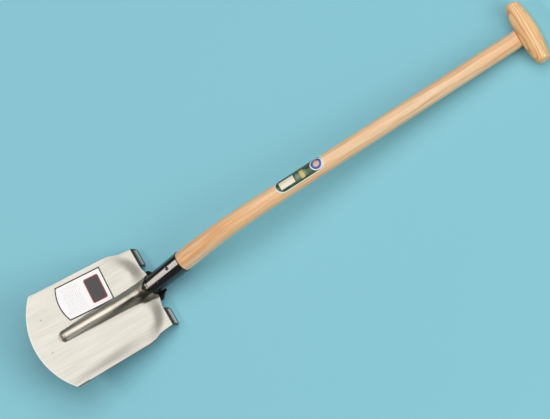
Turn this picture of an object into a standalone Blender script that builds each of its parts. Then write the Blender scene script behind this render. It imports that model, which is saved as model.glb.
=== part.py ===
"""A T-handled spade: dished steel blade with a hollow ridge, black socket, bent ash shaft and ash grip."""

import math

import bmesh
import bpy
import numpy as np
from mathutils import Matrix, Vector

# Sizes are in millimetres in the blade's own frame: x runs from the tip to the grip, y to the
# left, z out of the front of the blade. MM turns them into metres.
MM = 0.001
SHARP_FROM = math.radians(35)

# Blade outline. The tables give places as shares of the blade's length, and widths as shares of
# half the width at the tip.
BLADE_LENGTH = 242.0
TIP_HALF_WIDTH = 100.0
TIP_ARC_DEPTH = 37.5
ARC_FADE = 0.37
SIDE_PLACES = (0.0, 0.393, 0.558, 0.702, 0.789, 0.843, 0.872, 0.901, 0.955, 1.0)
SIDE_SHARES = (1.0, 0.975, 0.962, 0.951, 0.942, 0.919, 0.886, 0.86, 0.846, 0.834)
HEEL_CROWN = 5.0
HEEL_CROWN_START = 0.83
SHEET = 1.8
GROUND_EDGE = 6.0
GROUND_EDGE_SHARE = 0.4

# Dish of the blade
DISH_DEPTH = 6.0
DISH_REACH = 0.785
DISH_HEEL_RIM = 14.0
CREASE_CORNER = 36.0
CREASE_BAND = 32.0
CREASE_PLACES = (0.0, 0.124, 0.372, 0.537, 0.702, 0.847, 1.0)
CREASE_SHARES = (0.9, 0.88, 0.84, 0.81, 0.76, 0.71, 0.67)
RIM_RISE = 2.5
RIM_RISE_START = 0.765

# Socket
HEEL_AXIS_HEIGHT = 5.0
MOUTH_FROM_HEEL = 71.5
SOCKET_ANGLE = math.radians(28)
SOCKET_RADIUS = 20.9
SOCKET_TAPER = 0.022
SOCKET_WALL = 1.6
SOCKET_LENGTH = 82.0
SOCKET_BACK = -11.5
SOCKET_BACK_WALL = 1.8
SOCKET_RIM_ROUND = 0.4
FIT = 0.3
LAP_GAP = 0.5
LAP_FALL = 2.0
LAP_EDGE_SHARE = 0.45
LAP_EDGE_LENGTH = 14.0
LAP_EDGE_SIDES = (0.85, 1.05)
MOUTH_X = BLADE_LENGTH + MOUTH_FROM_HEEL
MOUTH_Z = HEEL_AXIS_HEIGHT + MOUTH_FROM_HEEL * math.tan(SOCKET_ANGLE)
SOCKET_END_X = MOUTH_X - SOCKET_LENGTH * math.cos(SOCKET_ANGLE) - SOCKET_RADIUS * math.sin(SOCKET_ANGLE)

# Flared tongue of the socket: places from the heel, half widths as shares of the socket's radius
TONGUE_THICK = 2.5
TONGUE_RISE = 0.35
TONGUE_PLACES = (-77.0, -75.5, -72.0, -65.0, -52.0, 8.0, 11.0, 14.0, 18.0, 22.0)
TONGUE_SHARES = (0.19, 0.48, 0.77, 1.0, 1.2, 1.51, 1.39, 1.2, 1.05, 0.98)
TONGUE_BETWEEN = (-42.0, -35.0, -29.0, -24.0, -20.0, -16.0, -12.0, -8.0, -4.0, 1.0)

# Hollow ridge up the middle of the blade, with widths and heights as shares of the socket's radius
RIDGE_TIP = 53.0
RIDGE_NOSE = 9.0
RIDGE_PLACES = (0.219, 0.413, 0.661, 0.826, 0.909, 1.0)
RIDGE_WIDTHS = (0.55, 0.63, 0.72, 0.81, 0.91, 1.03)
RIDGE_HEIGHTS = (0.36, 0.53, 0.77, 1.08, 1.2, 1.3)
RIDGE_FILLET = 3.0
RIDGE_NOSE_WIDTH = 0.45
RIDGE_END_CUT = 12.0

# The pressed ridge turns into a round lap over this much length, just before the end of the socket
RIDGE_TURN = 27.0
RIDGE_TURN_CLEAR = 1.3

# Treads folded back from the shoulders
TREAD_INNER = 0.575
TREAD_BEND = 5.0
TREAD_ANGLE = math.radians(60)
TREAD_FLAT = 16.0
TREAD_CORNER = 3.0

# Shaft, with its radius as shares of the radius that fits the socket's mouth
SHAFT_ANGLE = math.radians(11.2)
BEND_LENGTH = 200.0
SHAFT_LENGTH = 746.0
TENON_LENGTH = 74.0
SHAFT_PLACES = (0.0, 15.0, 80.0, 160.0, 260.0)
SHAFT_SHARES = (1.0, 1.02, 0.974, 0.921, 0.868)
SHAFT_SIDES = 28

# Grip
GRIP_LENGTH = 125.0
GRIP_DEEP = 42.0
GRIP_DEEP_END = 25.0
GRIP_TALL = 34.0
GRIP_TALL_END = 26.0
GRIP_FLAT = 18.5
GRIP_END_ROUND = 5.0
GRIP_SQUARENESS = 0.86
GRIP_SHARES = (0, 0.2, 0.36, 0.5, 0.62, 0.74, 0.84, 0.92, 0.94, 0.97, 0.992, 1)
GRIP_SIDES = 28
GRIP_TENON_RADIUS = 10.5
GRIP_TENON = 23.0

# Nails that hold the shaft in the socket, as (depth below the mouth, turn to the right)
NAIL_RADIUS = 2.0
NAIL_LENGTH = 27.0
NAIL_HEAD_RADIUS = 3.6
NAIL_HEAD_HIGH = 1.5
FRONT_NAIL = (25.0, 0.0)
SIDE_NAIL = (57.0, math.radians(24))

# Labels
LABEL_FILM = 0.3
LABEL_GAP = 0.4
LABEL_LENGTH = 90.0
LABEL_WIDTH = 69.0
LABEL_BULGE = 8.0
LABEL_PLACE = 0.54
LABEL_FROM_RIDGE = 4.4
LABEL_TURN = math.radians(-2.8)
SHAFT_LABEL_FROM = 224.0
SHAFT_LABEL_LENGTH = 103.0
SHAFT_LABEL_SPREAD = math.radians(57)
SHAFT_LABEL_SIDE = math.radians(14)
SHAFT_LABEL_END = 16.0
SHAFT_LABEL_TIP = 0.25


def clear_scene():
    for obj in list(bpy.data.objects):
        bpy.data.objects.remove(obj, do_unlink=True)


def collection(name, helper=False):
    made = bpy.data.collections.new(name)
    bpy.context.scene.collection.children.link(made)
    made.hide_render = helper
    return made


def material(name, colour, metallic, roughness):
    made = bpy.data.materials.new(name)
    made.use_nodes = True
    shader = made.node_tree.nodes["Principled BSDF"]
    shader.inputs["Base Color"].default_value = (*colour, 1.0)
    shader.inputs["Metallic"].default_value = metallic
    shader.inputs["Roughness"].default_value = roughness
    made.diffuse_color = (*colour, 1.0)
    return made


def place(name, mesh, home, parent, finish=None):
    """An object of this mesh in the collection, riding on the resting frame."""
    obj = bpy.data.objects.new(name, mesh)
    home.objects.link(obj)
    obj.parent = parent
    if finish:
        mesh.materials.append(finish)
        mesh.shade_smooth()
        mesh.set_sharp_from_angle(angle=SHARP_FROM)
    if home.hide_render:
        obj.hide_render = True
        obj.display_type = "WIRE"
    return obj


def mesh_of(name, points, faces):
    """A mesh from points in millimetres."""
    mesh = bpy.data.meshes.new(name)
    mesh.from_pydata([tuple(MM * c for c in p) for p in points], [], faces)
    mesh.update()
    return mesh


def boolean(obj, cutter, operation="DIFFERENCE"):
    modifier = obj.modifiers.new(operation.title() + " " + cutter.name, "BOOLEAN")
    modifier.operation = operation
    modifier.solver = "EXACT"
    modifier.object = cutter


def smooth_step(t):
    t = min(max(t, 0.0), 1.0)
    return t * t * (3 - 2 * t)


def smooth_max(a, b, reach):
    near = max(reach - abs(a - b), 0.0) / reach
    return max(a, b) + near * near * reach / 4


def circle_arc(share):
    """Height of a unit half circle at this share of its half width, 0 beyond it."""
    return math.sqrt(max(1 - share**2, 0.0))


def grid_faces(rows, across):
    return [
        (i * across + j, (i + 1) * across + j, (i + 1) * across + j + 1, i * across + j + 1)
        for i in range(rows - 1)
        for j in range(across - 1)
    ]


def surface_normal(height, x, y, reach=0.5):
    """Upward normal at a point of the surface that height(x, y) gives."""
    dx = (height(x + reach, y) - height(x - reach, y)) / (2 * reach)
    dy = (height(x, y + reach) - height(x, y - reach)) / (2 * reach)
    return Vector((-dx, -dy, 1)).normalized()


# Blade surface

def side_half_width(x):
    return TIP_HALF_WIDTH * np.interp(x / BLADE_LENGTH, SIDE_PLACES, SIDE_SHARES)


def crease_half_width(x):
    return TIP_HALF_WIDTH * np.interp(x / BLADE_LENGTH, CREASE_PLACES, CREASE_SHARES)


def ridge_half_width(x):
    return SOCKET_RADIUS * np.interp(x / BLADE_LENGTH, RIDGE_PLACES, RIDGE_WIDTHS)


def socket_centre_z(x):
    return MOUTH_Z - (MOUTH_X - x) * math.tan(SOCKET_ANGLE)


def socket_radius(along):
    """Outside radius at this distance from the mouth, negative towards the blade."""
    return SOCKET_RADIUS + SOCKET_TAPER * along


def dish_share(x, y):
    """1 on the floor of the dish, 0 on the rim, with the crease as a smooth band between."""
    qx = x - (BLADE_LENGTH - DISH_HEEL_RIM - CREASE_CORNER)
    qy = abs(y) - (crease_half_width(x) - CREASE_CORNER)
    outside = math.hypot(max(qx, 0.0), max(qy, 0.0))
    distance = outside + min(max(qx, qy), 0.0) - CREASE_CORNER
    return smooth_step(0.5 - distance / CREASE_BAND)


def pan_height(x, y):
    """Front surface of the blade without its ridge."""
    rim = RIM_RISE * smooth_step((x / BLADE_LENGTH - RIM_RISE_START) / (1 - RIM_RISE_START))
    reach = DISH_REACH * BLADE_LENGTH
    floor = -DISH_DEPTH * (min(max(x, 0.0), reach) / reach) ** 0.8
    share = dish_share(x, y)
    return rim * (1 - share) + floor * share


def pressed_ridge(x, y):
    """The ridge as pressed in the sheet: half an ellipse with a blunt round nose."""
    floor = pan_height(min(x, DISH_REACH * BLADE_LENGTH), 0.0)
    nose = min(max((x - RIDGE_TIP) / RIDGE_NOSE, 0.0), 1.0)
    bluntness = circle_arc(1 - nose)
    half = ridge_half_width(x) * (RIDGE_NOSE_WIDTH + (1 - RIDGE_NOSE_WIDTH) * bluntness)
    height = SOCKET_RADIUS * np.interp(x / BLADE_LENGTH, RIDGE_PLACES, RIDGE_HEIGHTS)
    rise = (height + RIDGE_FILLET) * bluntness
    return floor - RIDGE_FILLET + rise * circle_arc(y / half)


def heel_x(y):
    """The heel's edge: crowned in the middle, and cut back where the sheet laps the socket."""
    crown = HEEL_CROWN * (1 - smooth_step((abs(y) - 20) / 28))
    return BLADE_LENGTH + crown - RIDGE_END_CUT * circle_arc(y / ridge_half_width(BLADE_LENGTH))


def thickness_share(x, y):
    """The sheet's share of its full thickness, thinned to a feather edge where it laps the socket."""
    thinned = (1 - LAP_EDGE_SHARE) * (1 - smooth_step((heel_x(y) - x) / LAP_EDGE_LENGTH))
    inner, outer = LAP_EDGE_SIDES
    beside = smooth_step((abs(y) / ridge_half_width(BLADE_LENGTH) - inner) / (outer - inner))
    return 1 - thinned * (1 - beside)


def socket_lap(x, y):
    """The sheet where it laps over the round socket, which is an ellipse when cut square to x. The
    socket's top lies further up its axis than its centre does, so the taper is read from there."""
    along = SOCKET_RADIUS * math.tan(SOCKET_ANGLE) - (MOUTH_X - x) / math.cos(SOCKET_ANGLE)
    half = socket_radius(along) + LAP_GAP + SHEET * thickness_share(x, y)
    over = half * circle_arc(y / half) / math.cos(SOCKET_ANGLE)
    return socket_centre_z(x) + over - LAP_FALL * max(abs(y) - half, 0.0)


def blade_height(x, y):
    share = smooth_step(1 - (SOCKET_END_X - RIDGE_TURN_CLEAR - x) / RIDGE_TURN)
    ridge = pressed_ridge(x, y) * (1 - share) + socket_lap(x, y) * share
    return smooth_max(pan_height(x, y), ridge, RIDGE_FILLET)


def blade_x(station, y):
    """Stations follow the curved cutting edge near the tip and the crowned heel near the socket."""
    radius = (TIP_HALF_WIDTH**2 + TIP_ARC_DEPTH**2) / (2 * TIP_ARC_DEPTH)
    arc = radius - math.sqrt(radius**2 - y**2)
    x = station + arc * max(0.0, 1 - station / (ARC_FADE * BLADE_LENGTH))
    late = max(0.0, (station / BLADE_LENGTH - HEEL_CROWN_START) / (1 - HEEL_CROWN_START))
    return x + (heel_x(y) - BLADE_LENGTH) * late


NOSE_STATIONS = tuple(RIDGE_TIP + step for step in (-6.0, -1.5, 0.2, 1.6, 3.4, 6.0, 9.5, 17.0))
BODY_STATIONS = tuple(BLADE_LENGTH * share for share in (0.35, 0.44, 0.54, 0.64, 0.72, 0.777, 0.82))
HEEL_STEPS = (36.0, 30.0, 25.0, 21.0, 17.0, 13.0, 9.0, 5.0, 2.0, 0.0)
HEEL_STATIONS = tuple(BLADE_LENGTH - step for step in HEEL_STEPS)
STATIONS = (0.0, GROUND_EDGE, 20.0, 36.0, *NOSE_STATIONS, *BODY_STATIONS, *HEEL_STATIONS)
RIDGE_ANGLES = (0, 13, 26, 38, 49, 59, 68, 77, 86)
RIDGE_FEET = (1.07, 1.2)
FLOOR_SHARES = (0.16, 0.4, 0.65, 1.0)
RIM_SHARES = (0.14, 0.28, 0.42, 0.56, 0.7, 0.85, 1.0)
CREASE_LEAD = 14.0


def blade_columns(station):
    """Distances from the middle of the blade at one station: ridge, floor, then crease and rim."""
    ridge = ridge_half_width(station)
    lead = crease_half_width(station) - CREASE_LEAD
    columns = [ridge * math.sin(math.radians(a)) for a in RIDGE_ANGLES]
    columns += [ridge * share for share in RIDGE_FEET]
    foot = columns[-1]
    columns += [foot + (lead - foot) * share for share in FLOOR_SHARES]
    columns += [lead + (side_half_width(station) - lead) * share for share in RIM_SHARES]
    return columns


def half_blade():
    """Points and faces of the left half of the sheet, one quad wide strip per station."""
    points = []
    for station in STATIONS:
        for y in blade_columns(station):
            x = blade_x(station, y)
            points.append((x, y, blade_height(x, y)))
    across = len(blade_columns(0.0))
    return points, grid_faces(len(STATIONS), across), across


def add_tread(points, faces, across):
    """Folds a tab back from the heel: round a bend, then flat."""
    heel = [(len(STATIONS) - 1) * across + j for j in range(across)]
    tab = [i for i in heel if points[i][1] > TREAD_INNER * side_half_width(BLADE_LENGTH) - 2.0]
    steps = [(TREAD_ANGLE * k / 4, 0.0) for k in range(1, 5)]
    steps += [(TREAD_ANGLE, TREAD_FLAT - TREAD_CORNER), (TREAD_ANGLE, TREAD_FLAT)]
    first, last = points[tab[0]][1], points[tab[-1]][1]
    before = tab
    for angle, flat in steps:
        inset = max(0.0, flat - (TREAD_FLAT - TREAD_CORNER))
        row = []
        for i in tab:
            x, y, z = points[i]
            y = min(max(y, first + inset), last - inset)
            x += TREAD_BEND * math.sin(angle) + flat * math.cos(angle)
            z -= TREAD_BEND * (1 - math.cos(angle)) + flat * math.sin(angle)
            row.append(len(points))
            points.append((x, y, z))
        for j in range(len(tab) - 1):
            faces.append((before[j], row[j], row[j + 1], before[j + 1]))
        before = row
    return points, faces


def build_blade(home, parent, finish):
    points, faces, across = half_blade()
    points, faces = add_tread(points, faces, across)
    mesh = mesh_of("blade", points, faces)
    blade = place("blade", mesh, home, parent, finish)
    thin = blade.vertex_groups.new(name="thickness")
    for index, (x, y, _) in enumerate(points):
        thin.add([index], thickness_share(x, y), "REPLACE")
    thin.add(range(across), GROUND_EDGE_SHARE, "REPLACE")
    mirror = blade.modifiers.new("Right half", "MIRROR")
    mirror.use_axis = (False, True, False)
    mirror.merge_threshold = 0.00005
    shell = blade.modifiers.new("Sheet", "SOLIDIFY")
    shell.thickness = SHEET * MM
    shell.offset = -1.0
    shell.use_even_offset = True
    shell.vertex_group = thin.name
    shell.thickness_vertex_group = 0.0
    return blade


# Pieces that lie along the socket's axis and the shaft

def shaft_angle(distance):
    return SOCKET_ANGLE + (SHAFT_ANGLE - SOCKET_ANGLE) * smooth_step(distance / BEND_LENGTH)


def shaft_path():
    """Rows of (distance from the mouth, x, z) up the bent shaft, a millimetre or less apart."""
    steps = math.ceil(SHAFT_LENGTH)
    step = SHAFT_LENGTH / steps
    angles = [shaft_angle((k + 0.5) * step) for k in range(steps)]
    xs = MOUTH_X + step * np.cumsum([0.0, *np.cos(angles)])
    zs = MOUTH_Z + step * np.cumsum([0.0, *np.sin(angles)])
    return np.linspace(0.0, SHAFT_LENGTH, steps + 1), xs, zs


SHAFT_PATH = shaft_path()


def shaft_at(distance):
    """(x, z, angle) at this distance from the mouth, negative down the socket."""
    if distance <= 0:
        across, up = math.cos(SOCKET_ANGLE), math.sin(SOCKET_ANGLE)
        return MOUTH_X + distance * across, MOUTH_Z + distance * up, SOCKET_ANGLE
    places, xs, zs = SHAFT_PATH
    x = float(np.interp(distance, places, xs))
    z = float(np.interp(distance, places, zs))
    return x, z, shaft_angle(distance)


def frame_at(distance):
    """Matrix whose +Z runs up the shaft here and whose +X points out of its front."""
    x, z, angle = shaft_at(distance)
    front = Vector((-math.sin(angle), 0, math.cos(angle)))
    up = Vector((math.cos(angle), 0, math.sin(angle)))
    side = up.cross(front)
    turn = Matrix((front, side, up)).transposed().to_4x4()
    return Matrix.Translation(Vector((x * MM, 0, z * MM))) @ turn


def lathe(name, profile, home, parent, matrix, finish=None, steps=48):
    """A solid turned about its own Z from a (radius, height) profile that runs down the outside."""
    mesh = bpy.data.meshes.new(name)
    points = [(r * MM, 0.0, h * MM) for r, h in profile]
    edges = [(i, i + 1) for i in range(len(points) - 1)]
    mesh.from_pydata(points, edges, [])
    obj = place(name, mesh, home, parent, finish)
    obj.matrix_local = matrix
    screw = obj.modifiers.new("Turned", "SCREW")
    screw.steps = screw.render_steps = steps
    screw.use_merge_vertices = True
    screw.merge_threshold = 0.00001
    screw.use_normal_calculate = False
    return obj


def box(name, low, high, home, parent):
    """A box between two corners in millimetres."""
    mesh = bpy.data.meshes.new(name)
    work = bmesh.new()
    bmesh.ops.create_cube(work, size=1.0)
    size = [(b - a) * MM for a, b in zip(low, high)]
    centre = [(a + b) / 2 * MM for a, b in zip(low, high)]
    bmesh.ops.scale(work, vec=size, verts=work.verts)
    bmesh.ops.translate(work, vec=centre, verts=work.verts)
    work.to_mesh(mesh)
    work.free()
    return place(name, mesh, home, parent)


def tongue_point(x, y):
    """A point under the back of the blade at the lap gap, rising past the heel."""
    under = min(x, BLADE_LENGTH + HEEL_CROWN)
    front = Vector((x, y, pan_height(under, y) + (x - under) * TONGUE_RISE))
    return tuple(front - surface_normal(pan_height, under, y) * (SHEET + LAP_GAP))


def tongue_mesh():
    """The front of the flared tongue."""
    rows = sorted({*TONGUE_PLACES, *TONGUE_BETWEEN, HEEL_CROWN})
    shares = np.linspace(-1, 1, 13)
    points = []
    for row in rows:
        half = SOCKET_RADIUS * np.interp(row, TONGUE_PLACES, TONGUE_SHARES)
        points += [tongue_point(BLADE_LENGTH + row, share * half) for share in shares]
    return mesh_of("socket_tongue", points, grid_faces(len(rows), len(shares)))


def cut_box(name, x_range, top, home, parent):
    """A wide box below this height, to cut the back of the socket and the shaft flat."""
    deep, half = 80.0, 60.0
    return box(name, (x_range[0], -half, top - deep), (x_range[1], half, top), home, parent)


def build_socket(home, cutters, parent, finish):
    """The tapered tube with its tongue, bored for the shaft."""
    far = socket_radius(-SOCKET_LENGTH)
    tube = lathe(
        "socket",
        [(0, 0), (SOCKET_RADIUS - SOCKET_RIM_ROUND, 0), (SOCKET_RADIUS, -SOCKET_RIM_ROUND),
         (far, -SOCKET_LENGTH), (0, -SOCKET_LENGTH)],
        home, parent, frame_at(0), finish,
    )
    ends = (BLADE_LENGTH - 90, BLADE_LENGTH + 90)
    below = cut_box("below_socket", ends, SOCKET_BACK, cutters, parent)
    tongue = place("tongue", tongue_mesh(), cutters, parent)
    shell = tongue.modifiers.new("Plate", "SOLIDIFY")
    shell.thickness = TONGUE_THICK * MM
    shell.offset = -1.0
    shell.use_even_offset = True
    bore = lathe(
        "bore",
        [(0, 10), (SOCKET_RADIUS - SOCKET_WALL, 10), (SOCKET_RADIUS - SOCKET_WALL, 0),
         (socket_radius(-110) - SOCKET_WALL, -110), (0, -110)],
        cutters, parent, frame_at(0),
    )
    floor = cut_box("bore_floor", ends, SOCKET_BACK + SOCKET_BACK_WALL, cutters, parent)
    boolean(bore, floor)
    boolean(tube, below)
    boolean(tube, tongue, "UNION")
    boolean(tube, bore)
    return tube


def shaft_radius(distance):
    if distance <= 0:
        return socket_radius(distance) - SOCKET_WALL - FIT
    return (SOCKET_RADIUS - SOCKET_WALL - FIT) * float(np.interp(distance, SHAFT_PLACES, SHAFT_SHARES))


def build_shaft(home, cutters, parent, finish):
    """The bent shaft as one bevelled curve with its radius tapering, then its two tenons."""
    bent = np.arange(15, BEND_LENGTH + 65, 14)
    straight = [bent[-1] + (SHAFT_LENGTH - bent[-1]) * share for share in (0.13, 0.32, 0.55, 0.78, 1.0)]
    marks = [-TENON_LENGTH, -50.0, -25.0, 0.0, *bent, *straight]
    curve = bpy.data.curves.new("shaft_line", "CURVE")
    curve.dimensions = "3D"
    curve.bevel_depth = 1.0
    curve.bevel_resolution = SHAFT_SIDES // 4 - 1
    curve.use_fill_caps = True
    line = curve.splines.new("POLY")
    line.points.add(len(marks) - 1)
    for point, s in zip(line.points, marks):
        x, z, _ = shaft_at(s)
        point.co = (x * MM, 0, z * MM, 1)
        point.radius = shaft_radius(s) * MM
    guide = place("shaft_line", curve, cutters, parent)
    bpy.context.view_layer.update()
    mesh = bpy.data.meshes.new_from_object(guide.evaluated_get(bpy.context.evaluated_depsgraph_get()))
    bpy.data.objects.remove(guide)
    work = bmesh.new()
    work.from_mesh(mesh)
    bmesh.ops.remove_doubles(work, verts=work.verts, dist=1e-6)
    bmesh.ops.recalc_face_normals(work, faces=work.faces)
    work.to_mesh(mesh)
    work.free()
    shaft = place("shaft", mesh, home, parent, finish)
    top = SOCKET_BACK + SOCKET_BACK_WALL + FIT
    pared = cut_box("pared_side", (BLADE_LENGTH - 40, MOUTH_X), top, cutters, parent)
    boolean(shaft, pared)
    peg = lathe(
        "grip_tenon",
        [(0, GRIP_TENON), (GRIP_TENON_RADIUS - 1, GRIP_TENON), (GRIP_TENON_RADIUS, GRIP_TENON - 1),
         (GRIP_TENON_RADIUS, -5), (0, -5)],
        cutters, parent, frame_at(SHAFT_LENGTH),
    )
    boolean(shaft, peg, "UNION")
    return shaft


def grip_ring(share):
    """One section across the grip, in its own frame: x out of the front, z up the shaft."""
    fall = share**2
    deep = GRIP_DEEP + (GRIP_DEEP_END - GRIP_DEEP) * fall
    tall = GRIP_TALL + (GRIP_TALL_END - GRIP_TALL) * fall
    to_end = GRIP_LENGTH / 2 * (1 - abs(share))
    if to_end < GRIP_END_ROUND:
        inset = GRIP_END_ROUND * (1 - circle_arc(1 - to_end / GRIP_END_ROUND))
        deep -= 2 * inset
        tall -= 2 * inset
    ring = []
    for k in range(GRIP_SIDES):
        a = 2 * math.pi * k / GRIP_SIDES
        c, s = math.cos(a), math.sin(a)
        side = math.copysign(abs(c) ** GRIP_SQUARENESS, c) * tall / 2
        up = math.copysign(abs(s) ** GRIP_SQUARENESS, s) * deep / 2
        ring.append((side, share * GRIP_LENGTH / 2, up))
    return ring


def build_grip(home, cutters, parent, finish):
    """The crosspiece: a loft of rounded sections, flat on the blade's side, bored for the tenon."""
    rings = [grip_ring(share) for share in sorted({*GRIP_SHARES, *[-share for share in GRIP_SHARES]})]
    points = [p for ring in rings for p in ring]
    faces = []
    for first in range(0, len(points) - GRIP_SIDES, GRIP_SIDES):
        for j in range(GRIP_SIDES):
            after = (j + 1) % GRIP_SIDES
            faces.append((first + j, first + after, first + GRIP_SIDES + after, first + GRIP_SIDES + j))
    faces.append(tuple(range(GRIP_SIDES)))
    faces.append(tuple(range(len(points) - GRIP_SIDES, len(points))))
    mesh = mesh_of("t_grip", points, faces)
    work = bmesh.new()
    work.from_mesh(mesh)
    bmesh.ops.recalc_face_normals(work, faces=work.faces)
    work.to_mesh(mesh)
    work.free()
    seat = frame_at(SHAFT_LENGTH) @ Matrix.Translation((0, 0, (GRIP_FLAT + FIT) * MM))
    grip = place("t_grip", mesh, home, parent, finish)
    grip.matrix_local = seat
    flat = box("grip_flat", (-40, -80, -60), (40, 80, -GRIP_FLAT), cutters, parent)
    flat.matrix_local = seat
    bore = lathe(
        "grip_bore",
        [(0, GRIP_TENON + 1), (GRIP_TENON_RADIUS + FIT, GRIP_TENON + 1),
         (GRIP_TENON_RADIUS + FIT, -5), (0, -5)],
        cutters, parent, frame_at(SHAFT_LENGTH),
    )
    boolean(grip, flat)
    boolean(grip, bore)
    return grip


def nail_frame(depth, turn):
    """Matrix at the socket's outside whose +Z points out along the nail."""
    radius = socket_radius(-depth)
    spin = Matrix.Rotation(turn, 4, "Z")
    out = Matrix.Rotation(math.pi / 2, 4, "Y")
    return frame_at(-depth) @ spin @ Matrix.Translation((radius * MM, 0, 0)) @ out


def build_nail(name, where, home, cutters, parent, finish, socket, shaft):
    """A domed nail through the socket wall, with a hole cut for it in socket and shaft."""
    depth, turn = where
    matrix = nail_frame(depth, turn)
    angles = np.radians((0, 22, 45, 68, 90))
    dome = [(NAIL_HEAD_RADIUS * math.sin(a), NAIL_HEAD_HIGH * math.cos(a) + FIT) for a in angles]
    lathe(
        name,
        [(0, dome[0][1]), *dome[1:], (NAIL_RADIUS, FIT), (NAIL_RADIUS, -NAIL_LENGTH + 3), (0, -NAIL_LENGTH)],
        home, parent, matrix, finish, steps=24,
    )
    hole = lathe(
        name + "_hole",
        [(0, 8), (NAIL_RADIUS + FIT, 8), (NAIL_RADIUS + FIT, -NAIL_LENGTH - 1), (0, -NAIL_LENGTH - 1)],
        cutters, parent, matrix, steps=24,
    )
    boolean(socket, hole)
    boolean(shaft, hole)


# Labels

def build_blade_label(home, parent, finish):
    """A film on the floor of the dish with one side curved like the cutting edge."""
    across, along = 15, 19
    middle_x = LABEL_PLACE * BLADE_LENGTH
    middle_y = ridge_half_width(middle_x) + LABEL_FROM_RIDGE + LABEL_WIDTH / 2
    points = []
    for i in range(along):
        for j in range(across):
            v = (j / (across - 1) - 0.5) * LABEL_WIDTH
            left = -LABEL_LENGTH / 2 - LABEL_BULGE * (1 - (2 * v / LABEL_WIDTH) ** 2)
            u = left + (LABEL_LENGTH / 2 - left) * i / (along - 1)
            x = middle_x + u * math.cos(LABEL_TURN) - v * math.sin(LABEL_TURN)
            y = middle_y + u * math.sin(LABEL_TURN) + v * math.cos(LABEL_TURN)
            gap = LABEL_GAP * surface_normal(blade_height, x, y)
            points.append((x + gap.x, y + gap.y, blade_height(x, y) + gap.z))
    mesh = mesh_of("blade_label", points, grid_faces(along, across))
    label = place("blade_label", mesh, home, parent, finish)
    film = label.modifiers.new("Film", "SOLIDIFY")
    film.thickness = LABEL_FILM * MM
    film.offset = 1.0
    return label


def build_shaft_label(home, parent, finish):
    """A film with round ends wrapped part of the way round the shaft."""
    along, across = 25, 15
    points = []
    for i in range(along):
        t = SHAFT_LABEL_LENGTH * (0.5 - 0.5 * math.cos(math.pi * i / (along - 1)))
        to_end = min(t, SHAFT_LABEL_LENGTH - t, SHAFT_LABEL_END)
        rounding = circle_arc(1 - to_end / SHAFT_LABEL_END)
        spread = SHAFT_LABEL_SPREAD * (SHAFT_LABEL_TIP + (1 - SHAFT_LABEL_TIP) * rounding)
        s = SHAFT_LABEL_FROM + t
        x, z, angle = shaft_at(s)
        radius = shaft_radius(s) + LABEL_GAP
        for j in range(across):
            a = SHAFT_LABEL_SIDE + spread * (2 * j / (across - 1) - 1)
            out = radius * math.cos(a)
            points.append((x - out * math.sin(angle), radius * math.sin(a), z + out * math.cos(angle)))
    mesh = mesh_of("shaft_label", points, grid_faces(along, across))
    label = place("shaft_label", mesh, home, parent, finish)
    film = label.modifiers.new("Film", "SOLIDIFY")
    film.thickness = LABEL_FILM * MM
    film.offset = 1.0
    return label


# Resting pose: on its back, with the treads and the grip on the floor

def extents(obj, graph, turn):
    """(lowest x, lowest z, highest x) of the evaluated piece once turned, in metres."""
    evaluated = obj.evaluated_get(graph)
    mesh = evaluated.to_mesh()
    points = np.array([obj.matrix_local @ v.co for v in mesh.vertices])
    evaluated.to_mesh_clear()
    along = points[:, 0] * math.cos(turn) - points[:, 2] * math.sin(turn)
    heights = points[:, 0] * math.sin(turn) + points[:, 2] * math.cos(turn)
    return along.min(), heights.min(), along.max()


def rest_turn(blade, grip):
    """The angle about y at which blade and grip are equally low."""
    graph = bpy.context.evaluated_depsgraph_get()
    low, high = math.radians(-30), 0.0
    for _ in range(24):
        middle = (low + high) / 2
        if extents(blade, graph, middle)[1] > extents(grip, graph, middle)[1]:
            low = middle
        else:
            high = middle
    return (low + high) / 2


def lay_down(rest, blade, grip):
    """Turns the spade on its back, stands it on the floor and centres it over the origin."""
    bpy.context.view_layer.update()
    turn = rest_turn(blade, grip)
    graph = bpy.context.evaluated_depsgraph_get()
    low_x, floor, _ = extents(blade, graph, turn)
    _, grip_floor, high_x = extents(grip, graph, turn)
    rest.rotation_euler = (0, -turn, 0)
    rest.location = (-(low_x + high_x) / 2, 0, -min(floor, grip_floor))
    bpy.context.view_layer.update()


def main():
    clear_scene()
    bpy.context.scene.unit_settings.system = "METRIC"
    spade = collection("spade")
    cutters = collection("cutters", helper=True)
    rest = bpy.data.objects.new("rest", None)
    spade.objects.link(rest)
    steel = material("satin_steel", (0.62, 0.60, 0.56), 1.0, 0.35)
    black = material("black_lacquer", (0.02, 0.02, 0.022), 0.0, 0.2)
    ash = material("ash_shaft", (0.80, 0.62, 0.40), 0.0, 0.45)
    ash_grip = material("ash_grip", (0.78, 0.60, 0.39), 0.0, 0.45)
    nail_steel = material("nail_steel", (0.10, 0.10, 0.10), 1.0, 0.4)
    side_nail_steel = material("side_nail_steel", (0.10, 0.10, 0.10), 1.0, 0.4)
    white_film = material("white_label", (0.9, 0.9, 0.9), 0.0, 0.4)
    green_film = material("green_label", (0.03, 0.12, 0.07), 0.0, 0.35)
    blade = build_blade(spade, rest, steel)
    socket = build_socket(spade, cutters, rest, black)
    shaft = build_shaft(spade, cutters, rest, ash)
    grip = build_grip(spade, cutters, rest, ash_grip)
    build_nail("front_nail", FRONT_NAIL, spade, cutters, rest, nail_steel, socket, shaft)
    build_nail("side_nail", SIDE_NAIL, spade, cutters, rest, side_nail_steel, socket, shaft)
    build_blade_label(spade, rest, white_film)
    build_shaft_label(spade, rest, green_film)
    lay_down(rest, blade, grip)


main()
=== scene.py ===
"""A T-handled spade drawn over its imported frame: steel blade, black socket, ash shaft and grip, films."""

import math

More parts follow.
